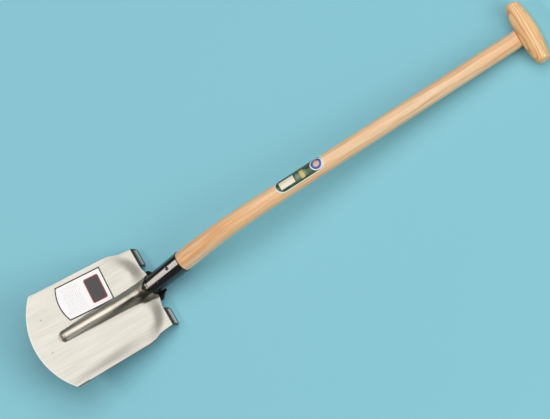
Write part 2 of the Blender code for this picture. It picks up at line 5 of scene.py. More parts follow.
import bmesh
import bpy
import numpy as np
from bpy.props import FloatProperty, FloatVectorProperty, PointerProperty
from bpy.types import Operator, Panel, PropertyGroup
from mathutils import Matrix, Vector


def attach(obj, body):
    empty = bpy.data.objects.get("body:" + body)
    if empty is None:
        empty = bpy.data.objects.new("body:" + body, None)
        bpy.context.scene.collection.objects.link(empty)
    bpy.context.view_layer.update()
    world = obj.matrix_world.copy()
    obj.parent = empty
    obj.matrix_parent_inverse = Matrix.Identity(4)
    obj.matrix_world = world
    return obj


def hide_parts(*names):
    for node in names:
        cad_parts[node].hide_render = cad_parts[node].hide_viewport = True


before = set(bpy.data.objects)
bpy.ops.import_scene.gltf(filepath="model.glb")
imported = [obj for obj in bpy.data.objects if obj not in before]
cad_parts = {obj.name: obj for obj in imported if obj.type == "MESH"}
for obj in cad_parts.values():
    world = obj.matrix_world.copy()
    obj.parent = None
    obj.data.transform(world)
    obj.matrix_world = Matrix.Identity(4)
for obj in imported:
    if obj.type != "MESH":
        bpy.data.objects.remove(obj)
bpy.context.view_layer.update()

bl_info = {
    "name": "Spade",
    "version": (1, 0, 0),
    "blender": (4, 5, 0),
    "location": "View3D > Sidebar > Spade",
    "description": "Builds the shown pieces of a T-handled spade and the studio round it",
    "category": "Add Mesh",
}

# Points are worked out in millimetres in the blade's own frame: x from the tip to the grip, y to
# the left, z out of the blade's front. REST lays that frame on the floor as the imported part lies.
MM = 0.001
REST_TURN = math.radians(15.1114)
REST_PLACE = (-0.548213, 0.0, 0.080143)
REST = Matrix.Translation(REST_PLACE) @ Matrix.Rotation(REST_TURN, 4, "Y")


# Colours

def linear(hex_colour):
    """Linear RGB from an sRGB hex colour such as #E9E5DA."""
    parts = [int(hex_colour[i:i + 2], 16) / 255 for i in (1, 3, 5)]
    return tuple(c / 12.92 if c <= 0.04045 else ((c + 0.055) / 1.055) ** 2.4 for c in parts)


def tone(hex_colour):
    """A colour, with its alpha, as a node takes it."""
    return (*linear(hex_colour), 1.0)


def grey(value):
    return (value, value, value, 1.0)


def length(name, description, default):
    return FloatProperty(name=name, description=description, default=default, unit="LENGTH", min=0.0)


def colour(name, description, hex_colour):
    return FloatVectorProperty(
        name=name, description=description, default=linear(hex_colour),
        subtype="COLOR", size=3, min=0.0, max=1.0,
    )


class SpadeSizes(PropertyGroup):
    """Sizes that the pieces are drawn at."""
    blade_length: length("Blade length", "Tip to heel along the middle of the blade", 0.242)
    tip_half_width: length("Half width at tip", "Half of the blade's width at its cutting edge", 0.100)
    tip_arc_depth: length("Tip arc depth", "How far the cutting edge bows out", 0.0375)
    sheet: length("Sheet", "Thickness of the blade's steel", 0.0018)
    dish_depth: length("Dish depth", "How deep the blade's floor lies under its rim", 0.006)
    socket_radius: length("Socket radius", "Outer radius of the socket at its mouth", 0.0209)
    socket_wall: length("Socket wall", "Thickness of the socket's steel", 0.0016)
    shaft_length: length("Shaft length", "From the socket's mouth to the grip", 0.746)
    grip_length: length("Grip length", "End to end across the shaft", 0.125)
    grip_deep: length("Grip depth", "Across its middle, along the shaft", 0.042)
    grip_tall: length("Grip thickness", "Through the grip, front to back", 0.034)


class SpadeColours(PropertyGroup):
    """Colours that the finishes are mixed from."""
    steel: colour("Steel", "Brushed steel of the blade", "#C0BDB4")
    steel_shade: colour("Steel, shaded", "Darker brushing lines of the blade", "#B1ADA3")
    scale_grey: colour("Scale", "Folded treads, left as rolled", "#BDB6A4")
    # The dark bends and borders of the treads are painted shade.
    tread_painted_shade: colour("Scale, dark", "Bends and borders of the treads", "#2E2925")
    lacquer: colour("Lacquer", "Black lacquer of the socket", "#0B0A0A")
    ash: colour("Ash", "Early wood of the shaft", "#F3D3AC")
    ash_warm: colour("Ash, warm", "Redder streaks in the wood of the shaft", "#F3C08D")
    ash_line: colour("Ash line", "Late wood lines of the shaft", "#D0915A")
    grip_ash: colour("Grip ash", "Early wood of the grip", "#F9D5A2")
    grip_warm: colour("Grip ash, warm", "Browner streaks in the wood of the grip", "#EDBB7F")
    grip_line: colour("Grip line", "Late wood lines of the grip", "#BC7A3C")
    film: colour("White film", "Blade label", "#F3F1F1")
    film_ink: colour("Ink", "Lines and panel printed on the blade label", "#35302F")
    film_red: colour("Red ink", "Edge of the panel on the blade label", "#B3483F")
    green_film: colour("Green film", "Shaft label", "#23402F")
    cream_ink: colour("Cream ink", "Border and panel of the shaft label", "#E9E0CC")
    gold_ink: colour("Gold ink", "Middle mark of the shaft label", "#C9B469")
    blue_ink: colour("Blue ink", "Round mark of the shaft label", "#3C5B9A")
    floor: colour("Floor", "Studio floor", "#8AC9D8")


# Form

# The numbers of the form are in millimetres, or shares where a comment or a name says so.

# The blade's outline: its half widths at places along it, its bowed tip, its crowned heel and the edge
# that is ground thin. Places and START are shares of the blade's length.
SIDE_PLACES = (0.0, 0.393, 0.558, 0.702, 0.789, 0.843, 0.872, 0.901, 0.955, 1.0)
SIDE_SHARES = (1.0, 0.975, 0.962, 0.951, 0.942, 0.919, 0.886, 0.86, 0.846, 0.834)
ARC_FADE = 0.37
HEEL_CROWN = 5.0
HEEL_CROWN_START = 0.83
HEEL_CROWN_FLAT = 20.0
HEEL_CROWN_FALL = 28.0
GROUND_EDGE = 6.0
GROUND_EDGE_SHARE = 0.4

# The dish, which deepens along the blade and lifts again at the heel, with the crease and the rim round
# it. Places, REACH, START and SPAN are shares of the blade's length.
DISH_REACH = 0.785
DISH_CURVE = 0.8
DISH_HEEL_RIM = 11.0
DISH_HEEL_LIFT = 0.5
DISH_LIFT_START = 0.5
DISH_LIFT_SPAN = 0.3
CREASE_PLACES = (0.0, 0.124, 0.372, 0.537, 0.702, 1.0)
CREASE_SHARES = (0.9, 0.88, 0.845, 0.815, 0.8, 0.8)
CREASE_CORNER = 44.0
CREASE_BAND_PLACES = (0.2, 0.54, 0.79, 0.9)
CREASE_BANDS = (18.0, 30.0, 38.0, 28.0)
HEEL_BAND = 18.0
HEEL_BAND_HALF = 22.0
RIM_RISE = 2.5
RIM_RISE_START = 0.765

# The ridge, its widths and heights as shares of the socket's radius, and the lap that it grows into.
RIDGE_TIP = 53.0
RIDGE_NOSE = 9.0
RIDGE_NOSE_WIDTH = 0.45
RIDGE_PLACES = (0.219, 0.413, 0.661, 0.826, 0.909, 1.0)
RIDGE_WIDTHS = (0.55, 0.63, 0.72, 0.81, 0.91, 1.03)
RIDGE_HEIGHTS = (0.36, 0.53, 0.77, 1.08, 1.2, 1.3)
RIDGE_FILLET = 3.0
RIDGE_LEAN = (0.2, -0.13)
RIDGE_LEAN_SPAN = 60.0
RIDGE_END_CUT = 12.0
RIDGE_TURN = 27.0
RIDGE_TURN_CLEAR = 1.3
LAP_GAP = 0.5
LAP_FALL = 2.0
LAP_EDGE = 0.45
LAP_EDGE_LENGTH = 14.0

# The blade's columns: degrees between those over the ridge, those at its foot as shares of its half
# width, and how many lie on the floor and on the crease and rim.
RIDGE_STEP = 4
FOOT_SHARES = (1.01, 1.04, 1.07, 1.1, 1.13, 1.15, 1.17, 1.19, 1.23, 1.3, 1.4, 1.52)
FLOOR_COLUMNS = 9
CREASE_LEAD = 16.0
RIM_COLUMNS = 20

# The black at the ridge's end, the painted shade down its right flank, the painted shadow line at the right
# edge and two specks in the steel.
BLACK_CREST = -18.0
BLACK_CURVE = 1.3
OUT_OF_BLACK = -5.0
PAINTED_SHADE_TOP_PLACES = (150.0, 210.0, 230.0)
PAINTED_SHADE_TOP = (5.0, 1.5, -1.0)
PAINTED_SHADE_FOOT = 14.6
HEEL_PAINTED_SHADE = 0.45
EDGE_SHADOW = 0.9
BLADE_SPECKS = ((37, 49, 0), (27, -17, 0))

# The treads folded back from the heel.
TREAD_INNER = 0.575
TREAD_BEND = 5.0
TREAD_ANGLE = math.radians(60)
TREAD_FLAT = 16.0
TREAD_CORNER = 5.0
TREAD_BEND_STEPS = 8
TREAD_CORNER_TURN = tuple(np.radians((0, 22, 45, 68, 90)))
# How far into a tread's bend the painted shade reaches before the distance from the border counts.
TREAD_PAINTED_SHADE_BEND = 3.0

# The socket, the bore and the blocks that hollow it and cut its back flat, and its tongue, which starts
# and ends these distances from the heel with half widths as shares of the socket's radius.
HEEL_AXIS_HEIGHT = 5.0
MOUTH_FROM_HEEL = 71.5
SOCKET_ANGLE = math.radians(28)
SOCKET_TAPER = 0.022
SOCKET_LENGTH = 82.0
SOCKET_BACK = -11.5
SOCKET_BACK_WALL = 1.8
SOCKET_RIM_ROUND = 0.4
SOCKET_RINGS = (1.2, 3.0, 20.0, 40.0, 60.0, 78.0)
SOCKET_STEPS = 120
BORE_OUT = 10.0
BORE_DEEP = 110.0
BACK_BLOCK = (90.0, 60.0, 80.0)
TONGUE_THICK = 2.5
TONGUE_RISE = 0.35
TONGUE_PLACES = (-77.0, -75.5, -72.0, -65.0, -52.0, 8.0, 11.0, 14.0, 18.0, 22.0)
TONGUE_SHARES = (0.19, 0.48, 0.77, 1.0, 1.2, 1.51, 1.39, 1.2, 1.05, 0.98)
TONGUE_COLUMNS = 25
FIT = 0.3

# The shaft: its slope past the bend, its radii as shares of the bore's at distances from the mouth, and
# the heart of its log in metres.
SHAFT_ANGLE = math.radians(11.2)
BEND_LENGTH = 200.0
TENON_LENGTH = 74.0
SHAFT_PLACES = (0.0, 15.0, 80.0, 160.0, 260.0)
SHAFT_SHARES = (1.0, 1.02, 0.974, 0.921, 0.868)
SHAFT_SIDES = 96
SHAFT_FINE_LENGTH = 300
SHAFT_HEART = (0.062, -0.021, 0)
SHAFT_RING = 5.0


def size(name):
    """A size from the panel, in millimetres."""
    return getattr(bpy.context.scene.spade_sizes, name) / MM


def paint(name):
    """A colour from the panel, with its alpha."""
    return (*getattr(bpy.context.scene.spade_colours, name), 1.0)


def smooth_step(t):
    t = min(max(t, 0.0), 1.0)
    return t * t * (3 - 2 * t)


def rise(value, start, span):
    """0 up to the start, 1 from a span past it, and a smooth rise between."""
    return smooth_step((value - start) / span)


def smooth_max(a, b, reach):
    near = max(reach - abs(a - b), 0.0) / reach
    return max(a, b) + near * near * reach / 4


def circle_arc(share):
    """Height of a unit half circle at this share of its half width, 0 beyond it."""
    return math.sqrt(max(1 - share**2, 0.0))


class BladeForm:
    """The pressed sheet's front surface as a height over each point of the blade."""

    def __init__(self):
        self.long = size("blade_length")
        self.wide = size("tip_half_width")
        self.arc = size("tip_arc_depth")
        self.sheet = size("sheet")
        self.dish = size("dish_depth")
        self.tube = size("socket_radius")
        self.mouth_x = self.long + MOUTH_FROM_HEEL
        self.mouth_z = HEEL_AXIS_HEIGHT + MOUTH_FROM_HEEL * math.tan(SOCKET_ANGLE)
        back = SOCKET_LENGTH * math.cos(SOCKET_ANGLE) + self.tube * math.sin(SOCKET_ANGLE)
        self.socket_end = self.mouth_x - back

    def side(self, x):
        """Half width of the blade."""
        return self.wide * np.interp(x / self.long, SIDE_PLACES, SIDE_SHARES)

    def crease(self, x):
        """Half width of the dish."""
        return self.wide * np.interp(x / self.long, CREASE_PLACES, CREASE_SHARES)

    def ridge(self, x):
        """Half width of the ridge."""
        return self.tube * np.interp(x / self.long, RIDGE_PLACES, RIDGE_WIDTHS)

    def tube_radius(self, along):
        """Outer radius of the socket this far up from its mouth, or down where it is negative."""
        return self.tube + SOCKET_TAPER * along

    def dish_share(self, x, y):
        """1 on the dish's floor and 0 on its rim, with the crease between them as wide as it is here."""
        qx = x - (self.long - DISH_HEEL_RIM - CREASE_CORNER)
        qy = abs(y) - (self.crease(x) - CREASE_CORNER)
        outside = math.hypot(max(qx, 0.0), max(qy, 0.0))
        distance = outside + min(max(qx, qy), 0.0) - CREASE_CORNER
        band = np.interp(x / self.long, CREASE_BAND_PLACES, CREASE_BANDS)
        by_ridge = 1 - rise(abs(y), HEEL_BAND_HALF, HEEL_BAND_HALF)
        band += HEEL_BAND * by_ridge * rise(x / self.long, 0.8, 0.1)
        return smooth_step(0.5 - distance / band)

    def bed(self, x):
        """Height of the floor that the ridge is pressed out of."""
        reach = DISH_REACH * self.long
        return -self.dish * (min(max(x, 0.0), reach) / reach) ** DISH_CURVE

    def pan(self, x, y):
        """Height of the sheet without its ridge."""
        rim = RIM_RISE * rise(x / self.long, RIM_RISE_START, 1 - RIM_RISE_START)
        floor = self.bed(x) * (1 - DISH_HEEL_LIFT * rise(x / self.long, DISH_LIFT_START, DISH_LIFT_SPAN))
        share = self.dish_share(x, y)
        return rim * (1 - share) + floor * share

    def pressed_ridge(self, x, y):
        """Height of the ridge alone, blunt at its nose and wider on its left."""
        floor = self.bed(x)
        nose = min(max((x - RIDGE_TIP) / RIDGE_NOSE, 0.0), 1.0)
        blunt = circle_arc(1 - nose)
        half = self.ridge(x) * (RIDGE_NOSE_WIDTH + (1 - RIDGE_NOSE_WIDTH) * blunt)
        lean = RIDGE_LEAN[0] if y > 0 else RIDGE_LEAN[1]
        half *= 1 + lean * smooth_step(abs(y) / self.ridge(x)) * rise(x, RIDGE_TIP, RIDGE_LEAN_SPAN)
        height = self.tube * np.interp(x / self.long, RIDGE_PLACES, RIDGE_HEIGHTS)
        crest = (height + RIDGE_FILLET) * blunt
        return floor - RIDGE_FILLET + crest * circle_arc(y / half)

    def heel(self, y):
        """x of the heel's edge: crowned in the middle, and cut back where the sheet laps the socket."""
        crown = HEEL_CROWN * (1 - rise(abs(y), HEEL_CROWN_FLAT, HEEL_CROWN_FALL))
        return self.long + crown - RIDGE_END_CUT * circle_arc(y / self.ridge(self.long))

    def thickness(self, x, y):
        """The sheet's share of its full thickness, thinned where its edge laps the socket."""
        thinned = (1 - LAP_EDGE) * (1 - smooth_step((self.heel(y) - x) / LAP_EDGE_LENGTH))
        return 1 - thinned * (1 - rise(abs(y) / self.ridge(self.long), 0.85, 0.2))

    def lap(self, x, y):
        """Height of the sheet where it lies over the socket."""
        along = self.tube * math.tan(SOCKET_ANGLE) - (self.mouth_x - x) / math.cos(SOCKET_ANGLE)
        half = self.tube_radius(along) + LAP_GAP + self.sheet * self.thickness(x, y)
        over = half * circle_arc(y / half) / math.cos(SOCKET_ANGLE)
        centre = self.mouth_z - (self.mouth_x - x) * math.tan(SOCKET_ANGLE)
        return centre + over - LAP_FALL * max(abs(y) - half, 0.0)

    def height(self, x, y):
        """Height of the sheet's front."""
        share = smooth_step(1 - (self.socket_end - RIDGE_TURN_CLEAR - x) / RIDGE_TURN)
        ridge = self.pressed_ridge(x, y) * (1 - share) + self.lap(x, y) * share
        return smooth_max(self.pan(x, y), ridge, RIDGE_FILLET)

    def normal(self, height, x, y, reach=0.5):
        """Upward normal at a point of the surface that height(x, y) gives."""
        dx = (height(x + reach, y) - height(x - reach, y)) / (2 * reach)
        dy = (height(x, y + reach) - height(x, y - reach)) / (2 * reach)
        return Vector((-dx, -dy, 1)).normalized()

    def along(self, station, y):
        """x of a point on this station, which bows with the cutting edge and with the heel."""
        radius = (self.wide**2 + self.arc**2) / (2 * self.arc)
        bow = radius - math.sqrt(radius**2 - y**2)
        x = station + bow * max(0.0, 1 - station / (ARC_FADE * self.long))
        late = max(0.0, (station / self.long - HEEL_CROWN_START) / (1 - HEEL_CROWN_START))
        return x + (self.heel(y) - self.long) * late

    def columns(self, station):
        """Distances from the middle at one station: ridge, its foot, floor, then crease and rim."""
        ridge = self.ridge(station)
        lead = self.crease(station) - CREASE_LEAD
        columns = [ridge * math.sin(math.radians(a)) for a in range(0, 89, RIDGE_STEP)]
        columns += [ridge * share for share in FOOT_SHARES]
        foot = columns[-1]
        columns += [foot + (lead - foot) * k / FLOOR_COLUMNS for k in range(1, FLOOR_COLUMNS + 1)]
        side = self.side(station)
        columns += [lead + (side - lead) * k / RIM_COLUMNS for k in range(1, RIM_COLUMNS + 1)]
        return columns

    def stations(self):
        """Rows from the tip to the heel, close at the ground edge, the ridge's nose and the heel."""
        nose = list(np.arange(RIDGE_TIP - 8, RIDGE_TIP + 12, 0.8))
        middle = list(np.arange(RIDGE_TIP + 13, self.long - 44, 3.5))
        heel = list(np.arange(self.long - 42, self.long - 0.5, 1.4))
        return [0.0, 1.5, 3.0, 4.5, GROUND_EDGE, 8.0, *range(11, 44, 4), *nose, *middle, *heel, self.long]


# Mesh helpers

def mesh_of(name, points, faces):
    mesh = bpy.data.meshes.new(name)
    mesh.from_pydata([tuple(MM * c for c in p) for p in points], [], faces)
    mesh.update()
    return mesh


def piece(name, mesh, material, matrix=REST):
    """A shown piece of the spade, shaded smooth but for its real edges."""
    made = bpy.data.objects.new(name, mesh)
    bpy.context.scene.collection.objects.link(made)
    made.matrix_world = matrix
    if material:
        mesh.materials.append(material)
    smooth(mesh)
    return made


def smooth(mesh):
    """Shades the mesh smooth but for its real edges."""
    mesh.shade_smooth()
    mesh.set_sharp_from_angle(angle=math.radians(38))


def bake(made):
    """Puts the mesh that the piece's modifiers make in place of them."""
    bpy.context.view_layer.update()
    graph = bpy.context.evaluated_depsgraph_get()
    shown = made.evaluated_get(graph)
    mesh = bpy.data.meshes.new_from_object(shown, preserve_all_data_layers=True, depsgraph=graph)
    made.modifiers.clear()
    made.data = mesh
    return mesh


def settle(made, node):
    """Fixes the piece's mesh where it lies, keeping each point's place in the piece's own frame for its
    material, and lets it stand for its CAD node on the spade's one body."""
    mesh = bake(made)
    store(mesh, "place", [tuple(vertex.co) for vertex in mesh.vertices])
    mesh.transform(made.matrix_world)
    made.matrix_world = Matrix.Identity(4)
    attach(made, "root")
    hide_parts(node)


def grid_faces(rows, across, closed=False):
    """Quads over rows of points, joined round to the first column where the rows are rings."""
    faces = []
    for row in range(0, (rows - 1) * across, across):
        for j in range(across if closed else across - 1):
            after = (j + 1) % across
            faces.append((row + j, row + across + j, row + across + after, row + after))
    return faces


def capped_rings(rows, across):
    """Faces of a solid that is made of rings of points and closed at both ends."""
    start = range(across)
    end = range(rows * across - 1, (rows - 1) * across - 1, -1)
    return [*grid_faces(rows, across, closed=True), tuple(start), tuple(end)]


def soften_edges(made, width, segments=2):
    """Rounds the piece's real edges by this width in millimetres."""
    bevel = made.modifiers.new("Eased edges", "BEVEL")
    bevel.width = width * MM
    bevel.segments = segments
    bevel.limit_method = "ANGLE"
    bevel.angle_limit = math.radians(50)
    bevel.harden_normals = True


def turned(name, profile, material, steps, matrix):
    """A solid turned about its own Z from a (radius, height) profile that runs down the outside."""
    mesh = bpy.data.meshes.new(name)
    points = [(r * MM, 0.0, h * MM) for r, h in profile]
    mesh.from_pydata(points, [(i, i + 1) for i in range(len(points) - 1)], [])
    made = piece(name, mesh, material, matrix)
    screw = made.modifiers.new("Turned", "SCREW")
    screw.steps = screw.render_steps = steps
    screw.use_merge_vertices = True
    screw.merge_threshold = 0.00001
    screw.use_smooth_shade = True
    return made


def thicken(made, name, thickness, offset=-1.0, even=True):
    """Makes a solid of a surface, this many millimetres thick behind it, or before it where offset is 1."""
    shell = made.modifiers.new(name, "SOLIDIFY")
    shell.thickness = thickness * MM
    shell.offset = offset
    shell.use_even_offset = even
    return shell


def cut(made, tool, operation="DIFFERENCE"):
    """Takes the tool's solid away from the piece, or joins it on."""
    modifier = made.modifiers.new(operation.title(), "BOOLEAN")
    modifier.operation = operation
    modifier.solver = "EXACT"
    modifier.object = tool


def store(mesh, name, values):
    """A vector for each point of the mesh, which a material reads by this name."""
    layer = mesh.attributes.new(name, "FLOAT_VECTOR", "POINT")
    layer.data.foreach_set("vector", [c for value in values for c in value])


# Shaft line

def bend_angle(s):
    """The shaft's rise at this distance from the mouth, in radians."""
    return SOCKET_ANGLE + (SHAFT_ANGLE - SOCKET_ANGLE) * smooth_step(s / BEND_LENGTH)


def shaft_line(form):
    """Rows of (distance from the mouth, x, z, angle), a millimetre apart, up the bent shaft."""
    x, z = form.mouth_x, form.mouth_z
    rows = [(0.0, x, z, SOCKET_ANGLE)]
    steps = int(size("shaft_length"))
    for k in range(steps):
        middle = bend_angle(k + 0.5)
        x, z = x + math.cos(middle), z + math.sin(middle)
        rows.append((k + 1.0, x, z, bend_angle(k + 1)))
    return np.array(rows)


def on_line(line, s):
    """(x, z, angle) at this distance from the mouth, negative down the socket."""
    if s <= 0:
        _, x, z, angle = line[0]
        return x + s * math.cos(angle), z + s * math.sin(angle), angle
    return tuple(float(np.interp(s, line[:, 0], line[:, k])) for k in (1, 2, 3))


def frame_at(line, s):
    """Matrix in the blade's frame whose +Z runs up the shaft here and whose +X points out of its front."""
    x, z, angle = on_line(line, s)
    front = Vector((-math.sin(angle), 0, math.cos(angle)))
    up = Vector((math.cos(angle), 0, math.sin(angle)))
    turn = Matrix((front, up.cross(front), up)).transposed().to_4x4()
    return REST @ Matrix.Translation(Vector((x * MM, 0, z * MM))) @ turn


def shaft_radius(form, s):
    fitted = form.tube - size("socket_wall") - FIT
    if s <= 0:
        return fitted + SOCKET_TAPER * s
    return fitted * float(np.interp(s, SHAFT_PLACES, SHAFT_SHARES))


# Materials

# A wave texture of scale 1 repeats after this many units of its coordinates.
WAVE_SPAN = 0.314
PRINT_SOFT = 0.25


def add(tree, kind, inputs, output=0, stops=(), **settings):
    """Adds a shader node with these settings and gives back one of its outputs. Each input, by number or
    name, is linked to a socket or set to a value. Stops are the (place, colour) pairs of a colour ramp."""
    node = tree.nodes.new("ShaderNode" + kind)
    for name, value in settings.items():
        setattr(node, name, value)
    for name, value in inputs.items():
        if isinstance(value, bpy.types.NodeSocket):
            tree.links.new(value, node.inputs[name])
        else:
            node.inputs[name].default_value = value
    for k, (place, shade) in enumerate(stops):
        element = node.color_ramp.elements[k] if k < 2 else node.color_ramp.elements.new(place)
        element.position = place
        element.color = shade
    return node.outputs[output]


def finish(name, **values):
    """A material and its nodes, with the values that are even all over set on its Principled BSDF."""
    made = bpy.data.materials.new(name)
    made.use_nodes = True
    shader = made.node_tree.nodes["Principled BSDF"]
    for socket, value in values.items():
        shader.inputs[socket.replace("_", " ")].default_value = value
    return made, made.node_tree


def dressed(made, sources):
    """The material with each of these sockets linked to the named input of its Principled BSDF."""
    tree = made.node_tree
    for name, socket in sources.items():
        tree.links.new(socket, tree.nodes["Principled BSDF"].inputs[name])
    return made


def layered(tree, base, layers):
    """The base colour with each (share, colour) laid over it in turn."""
    for share, shade in layers:
        base = add(tree, "Mix", {0: share, 6: base, 7: shade}, 2, data_type="RGBA")
    return base


def every(*spans):
    """Scale, for coordinates in metres, of a pattern whose features are this many millimetres long on each
    axis, or on all of them where one length is given."""
    scales = tuple(1000 / span for span in spans)
    return scales if len(scales) > 1 else scales[0]


def brushed_steel():
    """Hot pressed steel, linished along the blade and lacquered clear. It gives long faint lines and a wide
    soft highlight, and a lighter, warmer tint on the raised ridge paints in the cream of its highlight.
    The treads keep their grey scale, with painted shade in their bends and along their borders, and the
    end of the ridge is dipped with the socket in black. Painted shade darkens the ridge's right flank,
    its crest near the heel and the floor round its nose, and a painted shadow line runs along the right
    edge. The piece stores its zones as x for millimetres in from a tread's border, y for millimetres from
    the cutting edge and z for millimetres into the black. A third stored vector holds the shares of the
    painted shade on the flank, of the painted shade round the nose and of the painted shadow line at the
    right edge. Real brushing lines are a tenth of a millimetre apart; they are drawn coarser, so that
    they show."""
    made, tree = finish(
        "linished_steel_clear_lacquer", Metallic=1.0, Roughness=0.36, Coat_Weight=0.25, Coat_Roughness=0.12,
    )
    place = add(tree, "Attribute", {}, "Vector", attribute_name="place")
    zone = add(tree, "Attribute", {}, "Vector", attribute_name="zone")
    painted_shade = add(tree, "Attribute", {}, "Vector", attribute_name="painted_shade")
    height = add(tree, "SeparateXYZ", {0: place}, "Z")
    from_border, from_tip, into_black = add(tree, "SeparateXYZ", {0: zone}).node.outputs
    flank_painted_shade, nose_painted_shade, rim = add(tree, "SeparateXYZ", {0: painted_shade}).node.outputs

    along = add(tree, "VectorMath", {0: place, 1: every(71.4, 0.7143, 71.4)}, operation="MULTIPLY")
    lines = add(tree, "TexNoise", {"Vector": along, "Scale": 1.0, "Detail": 3.0})
    wide = add(tree, "VectorMath", {0: place, 1: every(143, 11.11, 143)}, operation="MULTIPLY")
    bands = add(tree, "TexNoise", {"Vector": wide, "Scale": 1.0, "Detail": 2.0})
    worn = add(tree, "Mix", {0: 0.25, 2: lines, 3: bands})
    steel = add(tree, "ValToRGB", {0: worn}, stops=[(0.36, paint("steel_shade")), (0.55, paint("steel"))])

    cloud = add(tree, "TexNoise", {"Vector": place, "Scale": every(45.5), "Detail": 3.0})
    stain = add(tree, "Math", {0: cloud, 1: 0.22}, operation="MULTIPLY")
    # Painted highlight: the raised ridge is tinted lighter and warmer, which paints in the cream of its
    # highlight.
    raised = add(tree, "MapRange", {"Value": height, "From Min": 0.003, "From Max": 0.009, "To Max": 0.46})
    ground = add(tree, "MapRange", {
        "Value": from_tip, "From Min": 2.0, "From Max": 5.0, "To Min": 1.0, "To Max": 0.0})
    # The places of this ramp are centimetres in from the tread's border. The dark at the bend and at the
    # borders is painted shade, and the grey further in is the scale.
    inward = add(tree, "Math", {0: from_border, 1: 0.1}, operation="MULTIPLY")
    rolled = add(tree, "ValToRGB", {0: inward}, stops=[
        (0.24, paint("tread_painted_shade")), (0.42, paint("scale_grey")), (0.7, tone("#C9BFB2"))])
    tread = add(tree, "MapRange", {"Value": from_border, "From Min": -1.0, "From Max": -0.4})
    layers = [
        (stain, tone("#A79E8B")), (raised, tone("#F0E4CE")), (ground, tone("#BEBBB2")), (tread, rolled),
    ]

    flat = add(tree, "VectorMath", {0: place, 1: (1000, 1000, 0)}, operation="MULTIPLY")
    for speck in BLADE_SPECKS:
        away = add(tree, "VectorMath", {0: flat, 1: speck}, "Value", operation="DISTANCE")
        pit = add(tree, "MapRange", {
            "Value": away, "From Min": 0.7, "From Max": 1.7, "To Min": 0.75, "To Max": 0.0})
        layers.append((pit, tone("#4A4640")))
    # Painted shade round the ridge's nose, a painted shadow line at the right edge and painted shade down
    # the ridge's right flank.
    for share, strength, shade in ((nose_painted_shade, 0.5, "#8C8474"), (rim, 0.85, "#2A2620"), (flank_painted_shade, 0.88, "#2E261D")):
        layers.append((add(tree, "Math", {0: share, 1: strength}, operation="MULTIPLY"), tone(shade)))
    dip = add(tree, "MapRange", {"Value": into_black, "From Min": -0.6, "From Max": 0.8})
    layers.append((dip, paint("lacquer")))

    bare = add(tree, "Math", {0: tread, 1: -0.85, 2: 1.0}, operation="MULTIPLY_ADD")
    brushed = add(tree, "MapRange", {
        "Value": worn, "From Min": 0.3, "From Max": 0.7, "To Min": 0.44, "To Max": 0.34})
    return dressed(made, {
        "Base Color": layered(tree, steel, layers),
        "Metallic": add(tree, "Mix", {0: dip, 2: bare, 3: 0.0}),
        "Roughness": add(tree, "Mix", {0: dip, 2: brushed, 3: 0.16}),
        "Coat Weight": add(tree, "MapRange", {"Value": dip, "To Min": 0.25}),
        "Normal": add(tree, "Bump", {"Strength": 0.12, "Distance": 0.0002, "Height": lines}),
    })


def sheared_edge_with_painted_shade():
    """Steel sheared and left raw, darkened further as painted shade on the sheet's cut edges. It gives a
    dull dark line round the sheet, with fine tears across it.
    """
    made, tree = finish("sheared_steel_edge_painted_shade", Metallic=0.7, Roughness=0.5)
    place = add(tree, "Attribute", {}, "Vector", attribute_name="place")
    across = add(tree, "VectorMath", {0: place, 1: every(0.6667, 0.6667, 5.0)}, operation="MULTIPLY")
    tears = add(tree, "TexNoise", {"Vector": across, "Scale": 1.0, "Detail": 2.0})
    dull = add(tree, "ValToRGB", {0: tears}, stops=[(0.3, tone("#1F1C19")), (0.75, tone("#45413B"))])
    return dressed(made, {
        "Base Color": dull,
        "Normal": add(tree, "Bump", {"Strength": 0.3, "Distance": 0.0001, "Height": tears}),
    })


def black_lacquer():
    """Stoving lacquer over rolled steel. It gives a near black with a glossy streak and a trace of dust."""
    made, tree = finish(
        "black_stoving_lacquer", Roughness=0.16, Coat_Weight=1.0, Coat_Roughness=0.12, Coat_IOR=1.7,
        Specular_IOR_Level=0.25,
    )
    place = add(tree, "Attribute", {}, "Vector", attribute_name="place")
    ripple = add(tree, "TexNoise", {"Vector": place, "Scale": every(16.67), "Detail": 2.0})
    dust = add(tree, "TexNoise", {"Vector": place, "Scale": every(1.4286), "Detail": 2.0})
    black = add(tree, "ValToRGB", {0: dust}, stops=[(0.5, paint("lacquer")), (0.8, tone("#2A2520"))])
    return dressed(made, {
        "Base Color": black,
        "Roughness": add(tree, "MapRange", {"Value": ripple, "To Min": 0.13, "To Max": 0.19}),
        "Normal": add(tree, "Bump", {"Strength": 0.05, "Distance": 0.001, "Height": ripple}),
    })


